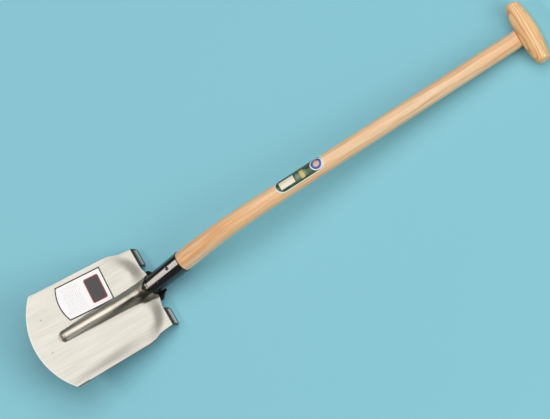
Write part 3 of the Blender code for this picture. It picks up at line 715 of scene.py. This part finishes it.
def ash(name, heart, ring, tones, bold):
    """Turned and sanded ash under a thin lacquer. It shows warm late wood lines along the grain, with broad
    redder streaks and short dark pores. Real rings are about 2 mm apart; they are drawn every few
    millimetres, which is what shows at this size. The pieces store their grain direction as z, in metres.
    The heart of the log lies beside them at heart, ring is the rings' spacing in millimetres, tones are the
    colours of the early wood, its streaks and the late wood, and bold is how strong the late lines are."""
    made, tree = finish(name, Roughness=0.42, Coat_Weight=0.22, Coat_Roughness=0.28, Specular_IOR_Level=0.5)
    early, warm, late = [paint(wood) for wood in tones]
    grain = add(tree, "Attribute", {}, "Vector", attribute_name="grain")

    def drawn_out(detail, *spans):
        """Noise whose features are this many millimetres long on each axis of the grain."""
        stretched = add(tree, "VectorMath", {0: grain, 1: every(*spans)}, operation="MULTIPLY")
        return add(tree, "TexNoise", {"Vector": stretched, "Scale": 1.0, "Detail": detail})

    sway = drawn_out(3.0, 33.3, 33.3, 143).node.outputs["Color"]
    swayed = add(tree, "VectorMath", {0: sway, 1: (0.012, 0.012, 0.0), 2: grain}, operation="MULTIPLY_ADD")
    off_heart = add(tree, "VectorMath", {0: swayed, 1: heart}, operation="ADD")
    in_mm = add(tree, "VectorMath", {0: off_heart, 1: (1000, 1000, 0)}, operation="MULTIPLY")
    rings = add(
        tree, "TexWave",
        {"Vector": in_mm, "Scale": WAVE_SPAN / ring, "Distortion": 0.6, "Detail": 2.0, "Detail Scale": 0.3},
        "Fac", wave_type="RINGS", rings_direction="Z", wave_profile="SAW",
    )
    late_wood = add(tree, "ValToRGB", {0: rings}, stops=[
        (0.0, grey(0.0)), (0.5, grey(0.15)), (0.84, grey(1.0)), (0.97, grey(0.1))])
    patches = add(tree, "ValToRGB", {0: drawn_out(3.0, 5.263, 5.263, 167)}, stops=[
        (0.34, grey(0.25)), (0.6, grey(1.0))])
    fibre = drawn_out(3.0, 1.923, 1.923, 71.4)
    pores = add(tree, "ValToRGB", {0: fibre}, stops=[(0.36, grey(0.42)), (0.52, grey(0.0))])
    streaks = add(tree, "ValToRGB", {0: drawn_out(2.0, 14.29, 14.29, 333)}, stops=[
        (0.38, grey(0.0)), (0.62, grey(1.0))])
    broken = add(tree, "Math", {0: late_wood, 1: patches}, operation="MULTIPLY")
    lines = add(tree, "Math", {0: broken, 1: bold}, operation="MULTIPLY", use_clamp=True)
    return dressed(made, {
        "Base Color": layered(tree, early, [(streaks, warm), (pores, late), (lines, late)]),
        "Roughness": add(tree, "MapRange", {"Value": fibre, "To Min": 0.52, "To Max": 0.36}),
        "Normal": add(tree, "Bump", {"Strength": 0.15, "Distance": 0.0002, "Height": fibre}),
    })


def black_nail():
    """Blackened wire nail: a dull dark head, mottled a little brighter in small patches."""
    made, tree = finish("blackened_nail", Metallic=1.0, Roughness=0.38)
    place = add(tree, "Attribute", {}, "Vector", attribute_name="place")
    pits = add(tree, "TexNoise", {"Vector": place, "Scale": every(1.111), "Detail": 2.0})
    rubbed = add(tree, "ValToRGB", {0: pits}, stops=[(0.3, tone("#2B2724")), (0.8, tone("#6B645C"))])
    return dressed(made, {
        "Base Color": rubbed,
        "Normal": add(tree, "Bump", {"Strength": 0.3, "Distance": 0.0002, "Height": pits}),
    })


def rounded_box(tree, u, v, centre, half, corner):
    """Distance in millimetres from the edge of a rounded rectangle, negative inside it, on a film whose
    coordinates are u and v."""
    past = []
    for place, middle, reach in zip((u, v), centre, half):
        off = add(tree, "Math", {0: place, 1: middle}, operation="SUBTRACT")
        off = add(tree, "Math", {0: off}, operation="ABSOLUTE")
        past.append(add(tree, "Math", {0: off, 1: reach - corner}, operation="SUBTRACT"))
    beyond = [add(tree, "Math", {0: one, 1: 0.0}, operation="MAXIMUM") for one in past]
    corner_way = add(tree, "CombineXYZ", {0: beyond[0], 1: beyond[1]})
    outside = add(tree, "VectorMath", {0: corner_way}, "Value", operation="LENGTH")
    nearest = add(tree, "Math", {0: past[0], 1: past[1]}, operation="MAXIMUM")
    within = add(tree, "Math", {0: nearest, 1: 0.0}, operation="MINIMUM")
    distance = add(tree, "Math", {0: outside, 1: within}, operation="ADD")
    return add(tree, "Math", {0: distance, 1: corner}, operation="SUBTRACT")


def inside(tree, distance, inset=0.0, soft=PRINT_SOFT):
    """1 within a printed shape that is drawn in by the inset and 0 outside it, from the distance to its
    edge in millimetres."""
    return add(tree, "MapRange", {
        "Value": distance, "From Min": -soft - inset, "From Max": soft - inset, "To Min": 1.0, "To Max": 0.0,
    })


def white_film():
    """Printed vinyl film. It gives a clean white with a thin dark frame, a dark panel and rows of fine grey
    lines, and a satin sheen with slight waves. Its coordinates are in millimetres."""
    made, tree = finish("printed_white_vinyl", Roughness=0.34, Specular_IOR_Level=0.5)
    label = add(tree, "Attribute", {}, "Vector", attribute_name="label")
    place = add(tree, "Attribute", {}, "Vector", attribute_name="place")
    u, v, from_edge = add(tree, "SeparateXYZ", {0: label}).node.outputs
    rows = add(tree, "TexWave", {"Vector": label, "Scale": WAVE_SPAN / 3.2}, "Fac", bands_direction="X")
    row_lines = add(tree, "ValToRGB", {0: rows}, stops=[(0.72, grey(0.0)), (0.9, grey(1.0))])
    along_rows = add(tree, "VectorMath", {0: label, 1: (0.3, 0.9, 0.0)}, operation="MULTIPLY")
    gaps = add(tree, "TexNoise", {"Vector": along_rows, "Scale": 1.0, "Detail": 1.0})
    broken = add(tree, "ValToRGB", {0: gaps}, stops=[(0.44, grey(0.0)), (0.5, grey(0.45))])
    block = inside(tree, rounded_box(tree, u, v, (-21, 0), (17, 27), 1.0), soft=1.0)
    in_rows = add(tree, "Math", {0: row_lines, 1: broken}, operation="MULTIPLY")
    in_block = add(tree, "Math", {0: in_rows, 1: block}, operation="MULTIPLY")
    panel = rounded_box(tree, u, v, (22, 0), (15, 25), 4.0)
    wave = add(tree, "TexNoise", {"Vector": place, "Scale": every(16.67), "Detail": 1.0})
    return dressed(made, {
        "Base Color": layered(tree, paint("film"), [
            (in_block, tone("#8A8583")),
            (inside(tree, panel), paint("film_red")),
            (inside(tree, panel, 1.6), paint("film_ink")),
            (inside(tree, from_edge, -2.2), tone("#1B1817")),
        ]),
        "Normal": add(tree, "Bump", {"Strength": 0.1, "Distance": 0.001, "Height": wave}),
    })


def green_film():
    """Printed gloss film round the shaft. It gives dark green with a cream edge, a cream panel, a gold bar
    and a round blue mark, and a painted highlight along the shaft over its own gloss. Its coordinates are
    in millimetres."""
    made, tree = finish(
        "printed_green_vinyl", Roughness=0.26, Specular_IOR_Level=0.5, Coat_Weight=0.3, Coat_Roughness=0.1,
    )
    label = add(tree, "Attribute", {}, "Vector", attribute_name="label")
    u, v, _ = add(tree, "SeparateXYZ", {0: label}).node.outputs
    brushed = add(tree, "VectorMath", {0: label, 1: (0.12, 0.3, 0.0)}, operation="MULTIPLY")
    shades = add(tree, "TexNoise", {"Vector": brushed, "Scale": 1.0, "Detail": 2.0})
    green = add(tree, "ValToRGB", {0: shades}, stops=[(0.35, paint("green_film")), (0.75, tone("#4C6B50"))])
    # A painted highlight: a pale soft patch along the middle of the film.
    painted_highlight = inside(tree, rounded_box(tree, u, v, (2, -3), (11, 6), 3.0), soft=3.0)
    pale = add(tree, "Math", {0: painted_highlight, 1: 0.4}, operation="MULTIPLY")
    panel = rounded_box(tree, u, v, (-27, -1.5), (15, 7.5), 0.6)
    bar = rounded_box(tree, u, v, (5, -3), (4, 8), 1.5)
    disc = rounded_box(tree, u, v, (36.5, -1), (12.5, 12.5), 12.4)
    outline = rounded_box(tree, u, v, (0, 0), (51.5, 16.6), 16.4)
    to_middle = add(tree, "Math", {0: outline, 1: -1.0}, operation="MULTIPLY")
    return dressed(made, {
        "Base Color": layered(tree, green, [
            (pale, tone("#A9B79A")),
            (inside(tree, panel), paint("cream_ink")),
            (inside(tree, bar), paint("gold_ink")),
            (inside(tree, disc), tone("#E4E6EE")),
            (inside(tree, disc, 2.0), paint("blue_ink")),
            (inside(tree, disc, 6.5), tone("#D9B0A0")),
            (inside(tree, to_middle, -2.2), paint("cream_ink")),
        ]),
    })


def studio_floor():
    """Matt seamless paper in pale blue. It gives an even ground that keeps the soft shadow."""
    made, tree = finish("pale_paper_floor", Roughness=0.9, Specular_IOR_Level=0.2)
    place = add(tree, "TexCoord", {}, "Object")
    pulp = add(tree, "TexNoise", {"Vector": place, "Scale": every(333), "Detail": 2.0})
    paler = add(tree, "Math", {0: pulp, 1: 0.06}, operation="MULTIPLY")
    return dressed(made, {"Base Color": layered(tree, paint("floor"), [(paler, tone("#9BD0DC"))])})


# Pieces

QUARTER_TURN = tuple(np.radians(range(0, 91, 9)))


class SPADE_OT_blade(Operator):
    """Draws the pressed blade with its hollow ridge and folded treads"""
    bl_idname = "spade.blade"
    bl_label = "Blade"

    def execute(self, context):
        form = BladeForm()
        stations = form.stations()
        points = []
        for station in stations:
            half = form.columns(station)
            for y in [-c for c in half[:0:-1]] + half:
                x = form.along(station, y)
                points.append((x, y, form.height(x, y)))
        across = 2 * len(form.columns(0.0)) - 1
        faces = grid_faces(len(stations), across)
        zones = [(-1.0, station, self.into_black(form, points[row * across + column]))
                 for row, station in enumerate(stations) for column in range(across)]
        for side in (1, -1):
            self.add_tread(form, points, faces, zones, (len(stations) - 1) * across, across, side)
        mesh = mesh_of("drawn_blade", points, faces)
        store(mesh, "zone", zones)
        store(mesh, "painted_shade", [self.painted_shade(form, point) for point in points])
        blade = piece("drawn_blade", mesh, brushed_steel())
        thin = blade.vertex_groups.new(name="thickness")
        for index, (x, y, _) in enumerate(points):
            thin.add([index], form.thickness(x, y), "REPLACE")
        for row, station in enumerate(stations):
            if station < GROUND_EDGE:
                share = GROUND_EDGE_SHARE + (1 - GROUND_EDGE_SHARE) * station / GROUND_EDGE
                thin.add(range(row * across, (row + 1) * across), share, "REPLACE")
        shell = thicken(blade, "Sheet", form.sheet)
        shell.vertex_group = thin.name
        mesh.materials.append(sheared_edge_with_painted_shade())
        shell.material_offset_rim = 1
        soften_edges(blade, 0.25)
        settle(blade, "blade")
        return {"FINISHED"}

    def into_black(self, form, point):
        """Millimetres past the line where the black of the socket ends on the ridge."""
        x, y, z = point
        line = form.long + BLACK_CREST + (HEEL_CROWN - BLACK_CREST) * (abs(y) / form.tube) ** BLACK_CURVE
        raised = z - form.pan(x, y) - 1.5
        return max(OUT_OF_BLACK, min(x - line, raised))

    def painted_shade(self, form, point):
        """Shares of the painted shade on the ridge's right flank and over its crest near the heel, of the
        painted shade round its nose and of the painted shadow line at the sheet's right edge."""
        x, y, z = point
        if x > form.long:
            return 0.0, 0.0, 0.0
        # Each rise below starts at so many millimetres and takes so many more.
        raised = rise(z - form.pan(x, y), 0.8, 1.5)
        # Painted shade down the ridge's right flank, and over its crest near the heel, where the steel
        # reflects dark surroundings.
        top = np.interp(x, PAINTED_SHADE_TOP_PLACES, PAINTED_SHADE_TOP)
        clear_foot = rise(-y, 9.0, 5.0) * (1 - rise(x, 196.0, 24.0))
        flank = rise(-y, top, 3.5) * (1 - rise(-y, PAINTED_SHADE_FOOT, 3.0)) * (1 - clear_foot) * rise(x, 60.0, 130.0)
        crest = HEEL_PAINTED_SHADE * rise(x, 186.0, 28.0) * (1 - rise(y, 1.0, 6.0))
        # Painted shade on the floor round the ridge's nose.
        from_nose = math.hypot(x - RIDGE_TIP - 4.0, y + 1.0)
        nose_painted_shade = (1 - rise(from_nose, 7.0, 4.0)) * (1 - raised)
        # A painted shadow line along the sheet's right edge.
        rim = 1.0 if -y > form.side(x) - EDGE_SHADOW else 0.0
        return max(flank, crest) * raised, nose_painted_shade, rim

    def add_tread(self, form, points, faces, zones, first, across, side):
        """Folds a tab back from the heel: round a bend, then flat, with rounded corners."""
        inner = TREAD_INNER * form.side(form.long) - 2.0
        tab = [i for i in range(first, first + across) if side * points[i][1] > inner]
        if side < 0:
            tab.reverse()
        low = abs(points[tab[0]][1])
        high = abs(points[tab[-1]][1])
        corner_start = TREAD_FLAT - TREAD_CORNER
        steps = [(TREAD_ANGLE * k / TREAD_BEND_STEPS, 0.0) for k in range(1, TREAD_BEND_STEPS + 1)]
        steps += [(TREAD_ANGLE, corner_start + TREAD_CORNER * math.sin(a)) for a in TREAD_CORNER_TURN]
        before = tab
        for angle, flat in steps:
            inset = TREAD_CORNER * (1 - circle_arc(max(0.0, flat - corner_start) / TREAD_CORNER))
            row = []
            for i in tab:
                x, y, z = points[i]
                y = side * min(max(abs(y), low + inset), high - inset)
                x += TREAD_BEND * math.sin(angle) + flat * math.cos(angle)
                z -= TREAD_BEND * (1 - math.cos(angle)) + flat * math.sin(angle)
                row.append(len(points))
                points.append((x, y, z))
                past = TREAD_BEND * angle + flat
                to_side = min(abs(y) - low, high - abs(y)) + 1.0
                far = TREAD_BEND * TREAD_ANGLE + TREAD_FLAT - past
                # Near 0 in the bend and at the borders, where the material paints shade.
                from_border = max(0.0, min(past - TREAD_PAINTED_SHADE_BEND, far, to_side))
                zones.append((from_border, form.long, OUT_OF_BLACK))
            for j in range(len(tab) - 1):
                quad = (before[j], row[j], row[j + 1], before[j + 1])
                faces.append(quad if side > 0 else quad[::-1])
            before = row


class SPADE_OT_socket(Operator):
    """Draws the tapered socket with its flared tongue"""
    bl_idname = "spade.socket"
    bl_label = "Socket"

    def execute(self, context):
        form = BladeForm()
        line = shaft_line(form)
        mouth = frame_at(line, 0)
        wall = size("socket_wall")
        far = form.tube_radius(-SOCKET_LENGTH)
        rim = SOCKET_RIM_ROUND
        outside = [(form.tube_radius(-depth), -depth) for depth in (rim, *SOCKET_RINGS)]
        profile = [(0, 0), (form.tube - rim, 0), (form.tube - 0.3 * rim, -0.3 * rim), *outside,
                   (far, -SOCKET_LENGTH), (0, -SOCKET_LENGTH)]
        hollow = [(0, BORE_OUT), (form.tube - wall, BORE_OUT), (form.tube - wall, 0),
                  (form.tube_radius(-BORE_DEEP) - wall, -BORE_DEEP), (0, -BORE_DEEP)]
        socket = turned("drawn_socket", profile, black_lacquer(), SOCKET_STEPS, mouth)
        bore = turned("bore", hollow, None, SOCKET_STEPS, mouth)
        reach, half, deep = BACK_BLOCK
        low = (form.long - reach, -half, SOCKET_BACK - deep)
        below = self.block("below", low, (form.long + reach, half, SOCKET_BACK))
        floor = self.block("floor", low, (form.long + reach, half, SOCKET_BACK + SOCKET_BACK_WALL))
        tongue = self.tongue(form)
        cut(bore, floor)
        cut(socket, below)
        cut(socket, tongue, "UNION")
        cut(socket, bore)
        smooth(bake(socket))
        for helper in (bore, below, floor, tongue):
            bpy.data.objects.remove(helper)
        soften_edges(socket, 0.2)
        settle(socket, "socket")
        return {"FINISHED"}

    def block(self, name, low, high):
        """A box between two corners in millimetres, which cuts the socket's back flat."""
        work = bmesh.new()
        bmesh.ops.create_cube(work, size=1.0)
        bmesh.ops.scale(work, vec=[(b - a) * MM for a, b in zip(low, high)], verts=work.verts)
        bmesh.ops.translate(work, vec=[(a + b) / 2 * MM for a, b in zip(low, high)], verts=work.verts)
        mesh = bpy.data.meshes.new(name)
        work.to_mesh(mesh)
        work.free()
        return piece(name, mesh, None)

    def tongue(self, form):
        """The flared plate that follows the back of the blade."""
        rows = sorted({*TONGUE_PLACES, HEEL_CROWN, *np.arange(-60.0, TONGUE_PLACES[-1], 2.5)})
        shares = np.linspace(-1, 1, TONGUE_COLUMNS)
        points = []
        for row in rows:
            half = form.tube * np.interp(row, TONGUE_PLACES, TONGUE_SHARES)
            for share in shares:
                x, y = form.long + row, share * half
                under = min(x, form.long + HEEL_CROWN)
                front = Vector((x, y, form.pan(under, y) + (x - under) * TONGUE_RISE))
                points.append(tuple(front - form.normal(form.pan, under, y) * (form.sheet + LAP_GAP)))
        plate = piece("tongue", mesh_of("tongue", points, grid_faces(len(rows), len(shares))), None)
        thicken(plate, "Plate", TONGUE_THICK)
        return plate


class SPADE_OT_shaft(Operator):
    """Draws the bent ash shaft"""
    bl_idname = "spade.shaft"
    bl_label = "Shaft"

    def execute(self, context):
        form = BladeForm()
        line = shaft_line(form)
        long = size("shaft_length")
        bent = SHAFT_FINE_LENGTH
        marks = [-TENON_LENGTH, *range(-60, 0, 12), *range(0, bent, 4), *range(bent, int(long), 12), long]
        points, grain = [], []
        for s in marks:
            x, z, angle = on_line(line, s)
            radius = shaft_radius(form, s)
            for k in range(SHAFT_SIDES):
                a = 2 * math.pi * k / SHAFT_SIDES
                front, left = radius * math.cos(a), radius * math.sin(a)
                height = z + front * math.cos(angle)
                if s <= 0:
                    height = max(height, SOCKET_BACK + SOCKET_BACK_WALL + FIT)
                points.append((x - front * math.sin(angle), left, height))
                grain.append((front * MM, left * MM, s * MM))
        mesh = mesh_of("drawn_shaft", points, capped_rings(len(marks), SHAFT_SIDES))
        store(mesh, "grain", grain)
        shaft = piece("drawn_shaft", mesh, ash(
            "turned_ash_shaft", SHAFT_HEART, SHAFT_RING, ("ash", "ash_warm", "ash_line"), 0.6))
        settle(shaft, "shaft")
        return {"FINISHED"}


# The grip: its sections at the ends as shares of the middle one, and its flat side's place.
GRIP_DEEP_END = 0.595
GRIP_TALL_END = 0.765
GRIP_FLAT = 18.5
GRIP_END_ROUND = 5.0
GRIP_SQUARENESS = 0.86
GRIP_SIDES = 72
GRIP_END_SHARE = 0.08
GRIP_HEART = (0.03, -0.034, 0)
GRIP_RING = 3.9


class SPADE_OT_grip(Operator):
    """Draws the ash crosspiece at the end of the shaft"""
    bl_idname = "spade.grip"
    bl_label = "Grip"

    def execute(self, context):
        line = shaft_line(BladeForm())
        ease = [1 - GRIP_END_SHARE * (1 - math.cos(a)) for a in QUARTER_TURN]
        shares = sorted({*np.linspace(-0.9, 0.9, 31), *ease, *[-e for e in ease]})
        points = [point for share in shares for point in self.ring(share)]
        mesh = mesh_of("drawn_grip", points, capped_rings(len(shares), GRIP_SIDES))
        work = bmesh.new()
        work.from_mesh(mesh)
        bmesh.ops.recalc_face_normals(work, faces=work.faces)
        work.to_mesh(mesh)
        work.free()
        store(mesh, "grain", [(p[0] * MM, p[2] * MM, p[1] * MM) for p in points])
        seat = frame_at(line, size("shaft_length")) @ Matrix.Translation((0, 0, (GRIP_FLAT + FIT) * MM))
        grip = piece("drawn_grip", mesh, ash(
            "shaped_ash_grip", GRIP_HEART, GRIP_RING, ("grip_ash", "grip_warm", "grip_line"), 0.9), seat)
        soften_edges(grip, 0.8, 3)
        settle(grip, "t_grip")
        return {"FINISHED"}

    def ring(self, share):
        """One section across the grip, cut flat on the side that meets the shaft."""
        long, deep, tall = size("grip_length"), size("grip_deep"), size("grip_tall")
        fall = share**2
        deep *= 1 + (GRIP_DEEP_END - 1) * fall
        tall *= 1 + (GRIP_TALL_END - 1) * fall
        to_end = long / 2 * (1 - abs(share))
        if to_end < GRIP_END_ROUND:
            inset = GRIP_END_ROUND - math.sqrt(GRIP_END_ROUND**2 - (GRIP_END_ROUND - to_end) ** 2)
            deep -= 2 * inset
            tall -= 2 * inset
        ring = []
        for k in range(GRIP_SIDES):
            a = 2 * math.pi * k / GRIP_SIDES
            c, s = math.cos(a), math.sin(a)
            side = math.copysign(abs(c) ** GRIP_SQUARENESS, c) * tall / 2
            up = math.copysign(abs(s) ** GRIP_SQUARENESS, s) * deep / 2
            ring.append((side, share * long / 2, max(up, -GRIP_FLAT)))
        return ring


# Each nail: its name, slot, depth below the mouth, turn round the socket and head's radius.
NAILS = (
    ("front_nail", "nail_steel", 25.0, 0.0, 3.3),
    ("side_nail", "side_nail_steel", 57.0, math.radians(24), 2.7),
)
NAIL_RADIUS = 2.0
NAIL_HEAD_HIGH = 1.5
NAIL_TIP_START = 24.0
NAIL_LENGTH = 27.0
NAIL_STEPS = 40


class SPADE_OT_nails(Operator):
    """Draws the two nail heads on the socket"""
    bl_idname = "spade.nails"
    bl_label = "Nails"

    def execute(self, context):
        form = BladeForm()
        line = shaft_line(form)
        steel = black_nail()
        for name, slot_name, depth, turn, head in NAILS:
            out = Matrix.Rotation(math.pi / 2, 4, "Y")
            spin = Matrix.Rotation(turn, 4, "Z")
            push = Matrix.Translation((form.tube_radius(-depth) * MM, 0, 0))
            dome = [(head * math.sin(a), NAIL_HEAD_HIGH * math.cos(a) + FIT) for a in QUARTER_TURN]
            profile = [(0, dome[0][1]), *dome[1:], (NAIL_RADIUS, FIT), (NAIL_RADIUS, -NAIL_TIP_START),
                       (0, -NAIL_LENGTH)]
            seat = frame_at(line, -depth) @ spin @ push @ out
            nail = turned("drawn_" + name, profile, steel, NAIL_STEPS, seat)
            settle(nail, name)
        return {"FINISHED"}


# The films, and how far they stand clear of what they are stuck to.
LABEL_FILM = 0.3
LABEL_GAP = 0.4
LABEL_LENGTH = 90.0
LABEL_WIDTH = 69.0
LABEL_BULGE = 8.0
LABEL_PLACE = 0.54
LABEL_FROM_RIDGE = 4.4
LABEL_TURN = math.radians(-2.8)
SHAFT_LABEL_FROM = 224.0
SHAFT_LABEL_LENGTH = 103.0
SHAFT_LABEL_SPREAD = math.radians(57)
SHAFT_LABEL_SIDE = math.radians(14)
SHAFT_LABEL_END = 16.0
SHAFT_LABEL_TIP = 0.25


class SPADE_OT_labels(Operator):
    """Draws the film on the blade and the film round the shaft"""
    bl_idname = "spade.labels"
    bl_label = "Labels"

    def execute(self, context):
        form = BladeForm()
        self.blade_label(form)
        self.shaft_label(form, shaft_line(form))
        return {"FINISHED"}

    def blade_label(self, form):
        """The film on the left of the ridge, bowed at the end that points to the tip."""
        across, along = 41, 53
        middle_x = LABEL_PLACE * form.long
        middle_y = form.ridge(middle_x) + LABEL_FROM_RIDGE + LABEL_WIDTH / 2
        points, marks = [], []
        for i in range(along):
            for j in range(across):
                v = (j / (across - 1) - 0.5) * LABEL_WIDTH
                left = -LABEL_LENGTH / 2 - LABEL_BULGE * (1 - (2 * v / LABEL_WIDTH) ** 2)
                u = left + (LABEL_LENGTH / 2 - left) * i / (along - 1)
                x = middle_x + u * math.cos(LABEL_TURN) - v * math.sin(LABEL_TURN)
                y = middle_y + u * math.sin(LABEL_TURN) + v * math.cos(LABEL_TURN)
                gap = LABEL_GAP * form.normal(form.height, x, y)
                points.append((x + gap.x, y + gap.y, form.height(x, y) + gap.z))
                marks.append((u, v, min(u - left, LABEL_LENGTH / 2 - u, LABEL_WIDTH / 2 - abs(v))))
        self.film("blade_label", "white_label", points, marks, (along, across), white_film())

    def shaft_label(self, form, line):
        """The film part of the way round the shaft, rounded at both ends."""
        along, across = 97, 41
        points, marks = [], []
        for i in range(along):
            t = SHAFT_LABEL_LENGTH * (0.5 - 0.5 * math.cos(math.pi * i / (along - 1)))
            to_end = min(t, SHAFT_LABEL_LENGTH - t, SHAFT_LABEL_END)
            rounding = circle_arc(1 - to_end / SHAFT_LABEL_END)
            spread = SHAFT_LABEL_SPREAD * (SHAFT_LABEL_TIP + (1 - SHAFT_LABEL_TIP) * rounding)
            s = SHAFT_LABEL_FROM + t
            x, z, angle = on_line(line, s)
            radius = shaft_radius(form, s) + LABEL_GAP
            for j in range(across):
                side = 2 * j / (across - 1) - 1
                a = SHAFT_LABEL_SIDE + spread * side
                out = radius * math.cos(a)
                points.append((x - out * math.sin(angle), radius * math.sin(a), z + out * math.cos(angle)))
                edge = min(t, SHAFT_LABEL_LENGTH - t, radius * spread * (1 - abs(side)))
                marks.append((t - SHAFT_LABEL_LENGTH / 2, radius * (a - SHAFT_LABEL_SIDE), edge))
        self.film("shaft_label", "green_label", points, marks, (along, across), green_film())

    def film(self, node, slot_name, points, marks, shape, material):
        """A thin solid film through these points. Its marks are each point's place on it and its distance
        from the film's edge, in millimetres."""
        mesh = mesh_of("drawn_" + node, points, grid_faces(*shape))
        store(mesh, "label", marks)
        label = piece("drawn_" + node, mesh, material)
        thicken(label, "Film", LABEL_FILM, offset=1.0, even=False)
        settle(label, node)


# Stage

# The camera, matched to the photo in the blade's own frame: roll, pitch and turn, the point that it
# looks at, how far it slides across the picture, its distance and what a pixel spans, in millimetres.
VIEW_TURN = (math.radians(-19.2), math.radians(2.7), math.radians(29.1))
VIEW_CENTRE = (500.0, 0.0, 60.0)
VIEW_SLIDE = (7.85, -1.52)
VIEW_DISTANCE = 16000.0
VIEW_PIXEL = 1.82
PHOTO_WIDTH = 550
SENSOR_WIDTH = 36.0
FLOOR_HALF = 12.0
FLOOR_DROP = 0.0014
ROOM_LIGHT = 0.12


class SPADE_OT_stage(Operator):
    """Sets up the floor, the camera and the studio light"""
    bl_idname = "spade.stage"
    bl_label = "Stage"

    def execute(self, context):
        self.camera(context.scene)
        self.floor()
        self.light(context.scene)
        return {"FINISHED"}

    def camera(self, scene):
        """A long lens that looks down on the spade as it lies."""
        roll, pitch, turn = VIEW_TURN
        view = Matrix.Rotation(turn, 4, "Z") @ Matrix.Rotation(pitch, 4, "Y") @ Matrix.Rotation(roll, 4, "X")
        back = view.inverted()
        eye = Vector(VIEW_CENTRE) + back @ Vector((*VIEW_SLIDE, VIEW_DISTANCE))
        lens = bpy.data.cameras.new("long_lens")
        lens.sensor_width = SENSOR_WIDTH
        lens.lens = SENSOR_WIDTH * VIEW_DISTANCE / (PHOTO_WIDTH * VIEW_PIXEL)
        lens.clip_end = 100.0
        camera = bpy.data.objects.new("camera", lens)
        scene.collection.objects.link(camera)
        camera.matrix_world = REST @ Matrix.Translation(eye * MM) @ back
        scene.camera = camera
        scene.view_settings.view_transform = "Standard"

    def floor(self):
        """A sheet of paper just under the spade's lowest point."""
        mesh = bpy.data.meshes.new("floor")
        work = bmesh.new()
        bmesh.ops.create_grid(work, x_segments=8, y_segments=8, size=FLOOR_HALF)
        work.to_mesh(mesh)
        work.free()
        floor = bpy.data.objects.new("floor", mesh)
        bpy.context.scene.collection.objects.link(floor)
        floor.location.z = -FLOOR_DROP
        mesh.materials.append(studio_floor())

    def light(self, scene):
        """A wide soft box high over the grip's end, a narrow one past the tip that draws the socket's
        highlight, a softer one on the right past the grip that evens out the floor, a low one along the
        blade's right side, and a dim even room."""
        world = bpy.data.worlds.new("studio")
        world.use_nodes = True
        room = world.node_tree.nodes["Background"]
        room.inputs["Color"].default_value = tone("#F4F6FA")
        room.inputs["Strength"].default_value = ROOM_LIGHT
        scene.world = world
        self.soft_box("key_box", (0.42, 0.21, 1.0), 8.0, (8.4, 10.4), 515.0)
        self.soft_box("strip_box", (-0.68, 0.2, 0.706), 3.05, (0.3, 2.7), 20.5,
                      long_side=(0.08, 0.96, -0.26), tint="#FFF4E8")
        self.soft_box("fill_box", (0.75, -0.66, 0.55), 6.5, (3.25, 3.9), 200.0)
        self.soft_box("edge_box", (-0.25, -1.0, 0.16), 1.8, (1.6, 0.5), 3.0)

    def soft_box(self, name, toward, distance, sides, watts, long_side=(0, 1, 0), tint="#FFFFFF"):
        """A rectangular lamp this many metres from the spade's middle, which it faces. Its second side
        runs along long_side as nearly as it can."""
        lamp = bpy.data.lights.new(name, "AREA")
        lamp.color = linear(tint)
        lamp.shape = "RECTANGLE"
        lamp.size, lamp.size_y = sides
        lamp.energy = watts
        box = bpy.data.objects.new(name, lamp)
        bpy.context.scene.collection.objects.link(box)
        aim = Vector(toward).normalized()
        across = Vector(long_side) - aim * aim.dot(Vector(long_side))
        across.normalize()
        box.matrix_world = Matrix.Translation(aim * distance) @ Matrix(
            (across.cross(aim), across, aim)).transposed().to_4x4()


class SPADE_PT_panel(Panel):
    """Lists the spade's sizes, colours and pieces"""
    bl_idname = "SPADE_PT_panel"
    bl_label = "Spade"
    bl_space_type = "VIEW_3D"
    bl_region_type = "UI"
    bl_category = "Spade"

    def draw(self, context):
        for group in (context.scene.spade_sizes, context.scene.spade_colours):
            for name in group.bl_rna.properties.keys():
                if name not in ("rna_type", "name"):
                    self.layout.prop(group, name)
        for operator in OPERATORS:
            self.layout.operator(operator.bl_idname)


OPERATORS = (
    SPADE_OT_blade, SPADE_OT_socket, SPADE_OT_shaft, SPADE_OT_grip, SPADE_OT_nails, SPADE_OT_labels,
    SPADE_OT_stage,
)
CLASSES = (SpadeSizes, SpadeColours, *OPERATORS, SPADE_PT_panel)


def register():
    for cls in CLASSES:
        bpy.utils.register_class(cls)
    bpy.types.Scene.spade_sizes = PointerProperty(type=SpadeSizes)
    bpy.types.Scene.spade_colours = PointerProperty(type=SpadeColours)


def unregister():
    del bpy.types.Scene.spade_colours
    del bpy.types.Scene.spade_sizes
    for cls in reversed(CLASSES):
        bpy.utils.unregister_class(cls)


def main():
    register()
    bpy.ops.spade.blade()
    bpy.ops.spade.socket()
    bpy.ops.spade.shaft()
    bpy.ops.spade.grip()
    bpy.ops.spade.nails()
    bpy.ops.spade.labels()
    bpy.ops.spade.stage()


if __name__ == "__main__":
    main()
